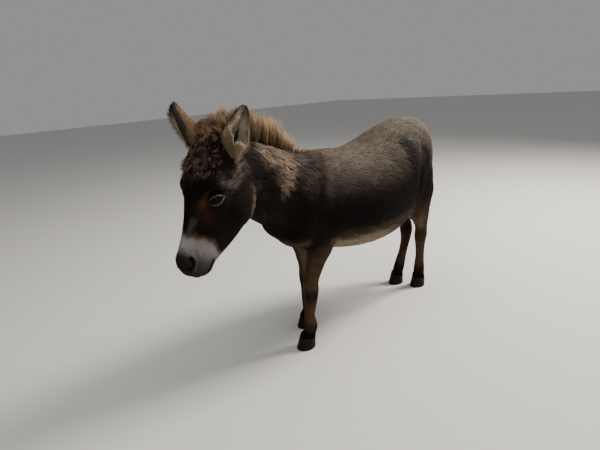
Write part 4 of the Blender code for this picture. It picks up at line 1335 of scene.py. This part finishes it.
# ---------------------------------------------------------------- nodes, lashes and whiskers

def feed(tree, node, inputs):
    """Give each named input a value, or join it to another node's output."""
    for key, value in inputs.items():
        if isinstance(value, bpy.types.NodeSocket):
            tree.links.new(value, node.inputs[key])
        else:
            node.inputs[key].default_value = value


def add(tree, kind, inputs=None, **settings):
    """A new node with its settings and inputs."""
    node = tree.nodes.new(kind)
    for key, value in settings.items():
        setattr(node, key, value)
    feed(tree, node, inputs or {})
    return node


def bristle_tree():
    """Geometry Nodes: a tapered bent bristle on each point, along its own direction."""
    tree = bpy.data.node_groups.new("bristles", "GeometryNodeTree")
    socket = tree.interface.new_socket
    socket("Geometry", in_out="INPUT", socket_type="NodeSocketGeometry")
    sockets = {
        label: socket(label, in_out="INPUT", socket_type="NodeSocket" + kind).identifier
        for label, kind in (("Length", "Float"), ("Thickness", "Float"), ("Bend", "Float"),
                            ("Seed", "Int"), ("Material", "Material"))}
    socket("Geometry", in_out="OUTPUT", socket_type="NodeSocketGeometry")
    given = add(tree, "NodeGroupInput").outputs
    # one bristle: a bent curve with a tapering radius
    half = add(tree, "ShaderNodeMath", {0: given["Length"], 1: 0.5}, operation="MULTIPLY")
    droop = add(tree, "ShaderNodeMath", {0: given["Length"], 1: given["Bend"]},
                operation="MULTIPLY")
    middle = add(tree, "ShaderNodeCombineXYZ", {"Z": half.outputs[0]})
    tip = add(tree, "ShaderNodeCombineXYZ", {"X": droop.outputs[0], "Z": given["Length"]})
    line = add(tree, "GeometryNodeCurveQuadraticBezier", {
        "Resolution": 6, "Start": (0, 0, 0), "Middle": middle.outputs[0], "End": tip.outputs[0]})
    along = add(tree, "GeometryNodeSplineParameter")
    thin = add(tree, "ShaderNodeMapRange", {
        "To Min": 1.0, "To Max": 0.12, "Value": along.outputs["Factor"]})
    ring = add(tree, "GeometryNodeCurvePrimitiveCircle", {
        "Resolution": 4, "Radius": given["Thickness"]})
    tube = add(tree, "GeometryNodeCurveToMesh", {
        "Fill Caps": True, "Curve": line.outputs[0], "Profile Curve": ring.outputs[0],
        "Scale": thin.outputs[0]})
    # turn each to its point's own direction
    way = add(tree, "GeometryNodeInputNamedAttribute", {"Name": "way"}, data_type="FLOAT_VECTOR")
    turn = add(tree, "FunctionNodeAlignRotationToVector", {"Vector": way.outputs["Attribute"]},
               axis="Z")
    chance = add(tree, "FunctionNodeRandomValue", {
        "Min": 0.65, "Max": 1.15, "Seed": given["Seed"]}, data_type="FLOAT")
    place = add(tree, "GeometryNodeInstanceOnPoints", {
        "Points": given["Geometry"], "Instance": tube.outputs[0], "Rotation": turn.outputs[0],
        "Scale": chance.outputs["Value"]})
    real = add(tree, "GeometryNodeRealizeInstances", {0: place.outputs[0]})
    paint = add(tree, "GeometryNodeSetMaterial", {
        "Geometry": real.outputs[0], "Material": given["Material"]})
    add(tree, "NodeGroupOutput", {0: paint.outputs[0]})
    return tree, sockets


def bristles(name, points, ways, measures, paint):
    """Bristles of one size on the given points, as a plain mesh."""
    mesh = bpy.data.meshes.new(name)
    mesh.from_pydata([tuple(p) for p in points], [], [])
    attribute = mesh.attributes.new("way", "FLOAT_VECTOR", "POINT")
    attribute.data.foreach_set("vector", np.asarray(ways, np.float32).ravel())
    thing = put(name, mesh)
    tree, sockets = bristle_tree()
    grow = thing.modifiers.new("grow", "NODES")
    grow.node_group = tree
    for label, value in {**measures, "Material": paint}.items():
        grow[sockets[label]] = value
    return evaluated(thing)


def lashes(paint):
    points, ways = [], []
    for _, centre, rows in eye_frames():
        for s in np.linspace(-0.80, 0.55, 34):
            half = LID_RISE * (1 - abs(s) ** 2.2)
            along = s * SLIT_HALF
            out = math.sqrt(max(LID_RADIUS ** 2 - along ** 2 - half ** 2, 1e-6)) + 0.0006
            points.append(centre + np.array([along, half + 0.0010, out]) @ rows)
            ways.append(np.array([0.35 * s, 0.30, 1.0]) @ rows)
    return bristles("eyelashes", from_head(points), unit(ways) @ HEAD,
                    {"Length": 0.013, "Thickness": 0.00034, "Bend": -0.35, "Seed": 5}, paint)


def whiskers(coat, paint, count=64):
    rng = np.random.default_rng(71)
    side = np.where(rng.uniform(size=count) < 0.5, -1.0, 1.0)
    place = np.column_stack([side * rng.uniform(0.018, 0.036, count),
                             rng.uniform(-0.085, 0.005, count), rng.uniform(0.325, 0.395, count)])
    root = coat.hug(from_head(place), -0.0006)
    out = unit(root - from_head([0, -0.03, 0.33]))
    way = unit(out + 0.35 * rng.normal(size=(count, 3)) + [0, 0, -0.35])
    return bristles("whiskers", root, way,
                    {"Length": 0.022, "Thickness": 0.00024, "Bend": 0.25, "Seed": 9}, paint)


# ---------------------------------------------------------------- finishes

class Finish:
    """A plain finish to which colours and fine relief are added."""

    def __init__(self, name, roughness, specular):
        self.paint = bpy.data.materials.new(name)
        self.paint.use_nodes = True
        self.tree = self.paint.node_tree
        self.shader = self.tree.nodes["Principled BSDF"]
        self.feed({"Roughness": roughness, "Specular IOR Level": specular})

    def feed(self, inputs):
        feed(self.tree, self.shader, inputs)

    def add(self, kind, inputs=None, **settings):
        return add(self.tree, kind, inputs, **settings)

    def noise(self, scale, detail, stretch=(1, 1, 1)):
        place = self.add("ShaderNodeTexCoord").outputs["Object"]
        if stretch != (1, 1, 1):
            mapping = self.add("ShaderNodeMapping", {"Scale": stretch, "Vector": place})
            place = mapping.outputs["Vector"]
        return self.add("ShaderNodeTexNoise", {
            "Scale": scale, "Detail": detail, "Vector": place}).outputs["Fac"]

    def relief(self, scale, strength, distance, stretch=(1, 1, 1)):
        """Fine bumps; the noise that they follow is returned."""
        noise = self.noise(scale, 4, stretch)
        rough = self.add("ShaderNodeBump", {
            "Strength": strength, "Distance": distance, "Height": noise})
        self.feed({"Normal": rough.outputs["Normal"]})
        return noise

    def marked(self, attribute):
        """The colours that the mesh carries under this name."""
        return self.add("ShaderNodeAttribute", attribute_name=attribute).outputs["Color"]

    def ramp(self, noise, *stops):
        """Base colour from a noise, through (place, red, green, blue) stops."""
        ramp = self.add("ShaderNodeValToRGB", {"Fac": noise})
        for element, (place, *colour) in zip(ramp.color_ramp.elements, stops):
            element.position = place
            element.color = (*colour, 1)
        self.feed({"Base Color": ramp.outputs["Color"]})


def hair_finish(name, roughness, specular):
    """Hair takes its markings from the tufts' own colours, with fine streaks over them."""
    finish = Finish(name, roughness, specular)
    streak = finish.add("ShaderNodeMapRange", {
        "From Min": 0.3, "From Max": 0.7, "To Min": 0.88, "To Max": 1.12,
        "Value": finish.noise(420, 2)})
    mix = finish.add("ShaderNodeVectorMath", {
        0: finish.marked("coat"), "Scale": streak.outputs["Result"]}, operation="SCALE")
    finish.feed({"Base Color": mix.outputs["Vector"]})
    return finish.paint


def skin_finish():
    finish = Finish("skin_finish", 0.66, 0.10)
    finish.feed({"Base Color": finish.marked("coat")})
    finish.relief(260, 0.35, 0.0012)
    return finish.paint


def horn_finish():
    finish = Finish("horn_finish", 0.55, 0.14)
    growth = finish.relief(60, 0.5, 0.0008, (1, 1, 5))
    finish.ramp(growth, (0.35, 0.0035, 0.0028, 0.0023), (0.72, 0.0095, 0.0072, 0.0058))
    return finish.paint


def eye_finish():
    finish = Finish("eye_finish", 0.10, 0.07)
    finish.feed({"Base Color": finish.marked("iris"), "Coat Weight": 0.03, "Coat Roughness": 0.06})
    return finish.paint


def dark_bristle_finish():
    finish = Finish("bristle_finish", 0.45, 0.4)
    finish.feed({"Base Color": (0.012, 0.009, 0.007, 1)})
    return finish.paint


# ---------------------------------------------------------------- putting it together

def unwrap(thing):
    """Unwrap the skin by its own shape, and return the places of its corners."""
    thing.data.uv_layers.new(name="OFBake").active = True
    bpy.context.view_layer.objects.active = thing
    thing.select_set(True)
    bpy.ops.object.mode_set(mode="EDIT")
    bpy.ops.mesh.select_all(action="SELECT")
    bpy.ops.uv.smart_project(angle_limit=math.radians(66), island_margin=0.001)
    bpy.ops.object.mode_set(mode="OBJECT")
    thing.select_set(False)
    return read(thing.data.uv_layers["OFBake"].data, "uv", 2, np.float32).astype(float)


def settle(piece, slot, paint=None, *nodes):
    """Give a finished piece its finish, its body and the nodes that it stands for."""
    if paint:
        piece.data.materials.clear()
        piece.data.materials.append(paint)
    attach(piece, "root")
    if nodes:
        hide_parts(*nodes)


def coat_stretches(vertices, triangles, normals, masks):
    """Each piece of short coat: which triangles it covers, and its tufts per square metre."""
    middles = vertices[triangles].mean(axis=1)
    x, z = middles[:, 0], middles[:, 2]
    y = middles[:, 1] - SHIFT[1]
    local = to_head(middles)
    # the coat leaves free the eyes, lids, nostrils, lips and the cut ends at the coronets
    bare = np.max([mask[triangles].max(axis=1) for mask in masks.values()], axis=0)
    covered = (bare <= 0.25) & (z > CORONET)
    head = headness(local) > 0.5
    legs = ~head & (z < 0.40) & (np.abs(x) > 0.012)
    legs &= (z < 0.33) | (normals[triangles[:, 0]][:, 2] > -0.6)
    body = ~head & ~legs
    rear, nose, left = y >= 0.33, local[:, 2] > 0.215, x >= 0
    barrel = body & (y >= 0.0) & ~rear
    for name, keep, density in (
            ("coat_neck", body & (y < 0.0), 58000),
            ("coat_left_shoulder", barrel & left, 46000),
            ("coat_right_shoulder", barrel & ~left, 46000),
            ("coat_left_haunch", body & rear & left, 39000),
            ("coat_right_haunch", body & rear & ~left, 39000),
            ("coat_head", head & ~nose, 143000),
            ("coat_muzzle", head & nose, 160000),
            ("coat_fore_legs", legs & ~rear, 72000),
            ("coat_hind_legs", legs & rear, 72000)):
        yield name, (keep & covered) * density


def build_animal():
    hair = hair_finish("coat_finish", 0.62, 0.06)
    soft = hair_finish("long_hair_finish", 0.52, 0.16)
    bristle, eye_paint, horn = dark_bristle_finish(), eye_finish(), horn_finish()

    # one skin: the welded body, both ears and the dock of the tail
    vertices, triangles, masks = make_skin()
    normals = vertex_normals(vertices, triangles)
    lids = LID * (0.85 + 0.30 * grain(vertices, 0.006, 71))[:, None]
    # pale lid rims; painted shade in the eye's opening, in the nostrils and along the mouth's line
    colours = layered(markings(vertices, normals) * 0.75, [
        (lids, masks["rim"]), (BLACK * 0.5, masks["opening"]), (BLACK * 0.4, masks["hole"]),
        (BLACK, masks["mouth"] * 0.9)])
    parts = [(vertices, triangles, colours), *(ear.skin() for ear in EARS.values()), tail_core()]
    starts = np.cumsum([0] + [len(part[0]) for part in parts])
    all_vertices = np.vstack([part[0] for part in parts])
    all_triangles = np.vstack([part[1] + start for part, start in zip(parts, starts)])
    skin = mesh_object("skin", all_vertices, [all_triangles])
    set_colours(skin.data, "coat", np.vstack([part[2] for part in parts]))
    uv = unwrap(skin).reshape(-1, 3, 2)
    settle(skin, "dark_coat", skin_finish(), *FLESH, *EARS)
    coat = Coat(vertices, triangles, uv[:len(triangles)])
    whole = Coat(all_vertices, all_triangles, uv)

    thin = 1.0
    stretches = coat_stretches(vertices, triangles, coat.normals, masks)
    for number, (name, density) in enumerate(stretches):
        slot = "leg_coat" if "legs" in name else "dark_coat"
        settle(coat_piece(coat, name, density * thin, 100 + 10 * number), slot, hair)
    for number, name in enumerate(EARS):
        settle(ear_coat(name, whole, 200 + number), "ear_coat", soft)
    settle(mane(coat), "mane_hair", soft, "mane")
    for piece in (forelock(coat), poll_locks(coat), jaw_hair(coat)):
        settle(piece, "mane_hair", soft)
    settle(coronet_hair(coat), "leg_coat", hair)
    settle(tail_hair(coat), "tail_hair", soft, "tail")
    for side_name, side in (("left", 1), ("right", -1)):
        settle(eyeball(side_name, side), "eye_ball", eye_paint, "eye_" + side_name)
    for leg in LEGS:
        settle(hoof(leg), "hoof_horn", horn, "hoof_" + leg)
    settle(lashes(bristle), "tail_hair", bristle)
    settle(whiskers(coat, bristle), "tail_hair", bristle)


# ---------------------------------------------------------------- studio

def stage():
    bpy.ops.mesh.primitive_plane_add(size=40, location=(0, 0, 0))
    floor = bpy.context.object
    floor.name = "floor"
    finish = Finish("floor_finish", 0.85, 0.2)
    finish.ramp(finish.relief(90, 0.08, 0.001), (0.0, 0.60, 0.585, 0.56), (1.0, 0.68, 0.665, 0.64))
    floor.data.materials.append(finish.paint)
    world = bpy.data.worlds.new("studio")
    bpy.context.scene.world = world
    world.use_nodes = True
    feed(world.node_tree, world.node_tree.nodes["Background"], {
        "Color": (0.92, 0.92, 0.93, 1), "Strength": 0.33})


def lamp(name, place, target, size, power, colour):
    light = bpy.data.lights.new(name, "AREA")
    light.size = size
    light.energy = power
    light.color = colour
    thing = put(name, light)
    thing.location = Vector(place)
    thing.rotation_euler = (Vector(target) - Vector(place)).to_track_quat("-Z", "Y").to_euler()


def camera():
    """Where the viewer stands: chest high, at the donkey's left shoulder, tilted a little."""
    place = np.array([1.310, -1.038, 1.0]) + SHIFT
    level = unit([-0.776, 0.631, 0.0])
    pitch, roll = math.radians(17.0), math.radians(4.3)
    up = np.array([0, 0, 1.0])
    forward = level * math.cos(pitch) - up * math.sin(pitch)
    above = level * math.sin(pitch) + up * math.cos(pitch)
    right = np.cross(forward, above)
    rolled_right = right * math.cos(roll) - above * math.sin(roll)
    rolled_up = right * math.sin(roll) + above * math.cos(roll)
    lens = bpy.data.cameras.new("camera")
    lens.sensor_width = 36
    lens.lens = 27.06
    lens.clip_start = 0.02
    viewer = put("camera", lens)
    turn = Matrix((rolled_right, rolled_up, -forward)).transposed().to_4x4()
    viewer.matrix_world = Matrix.Translation(Vector(place)) @ turn
    bpy.context.scene.camera = viewer


build_animal()
stage()
lamp("key", (0.9, 3.2, 3.0), (0, 0, 0.6), 1.1, 300, (1.0, 0.95, 0.88))
lamp("fill", (2.8, -1.8, 1.9), (0, -0.1, 0.5), 2.6, 22, (1.0, 0.98, 0.95))
lamp("top", (0.2, -0.2, 3.2), (0, 0, 0.5), 2.5, 45, (1.0, 0.98, 0.95))
camera()
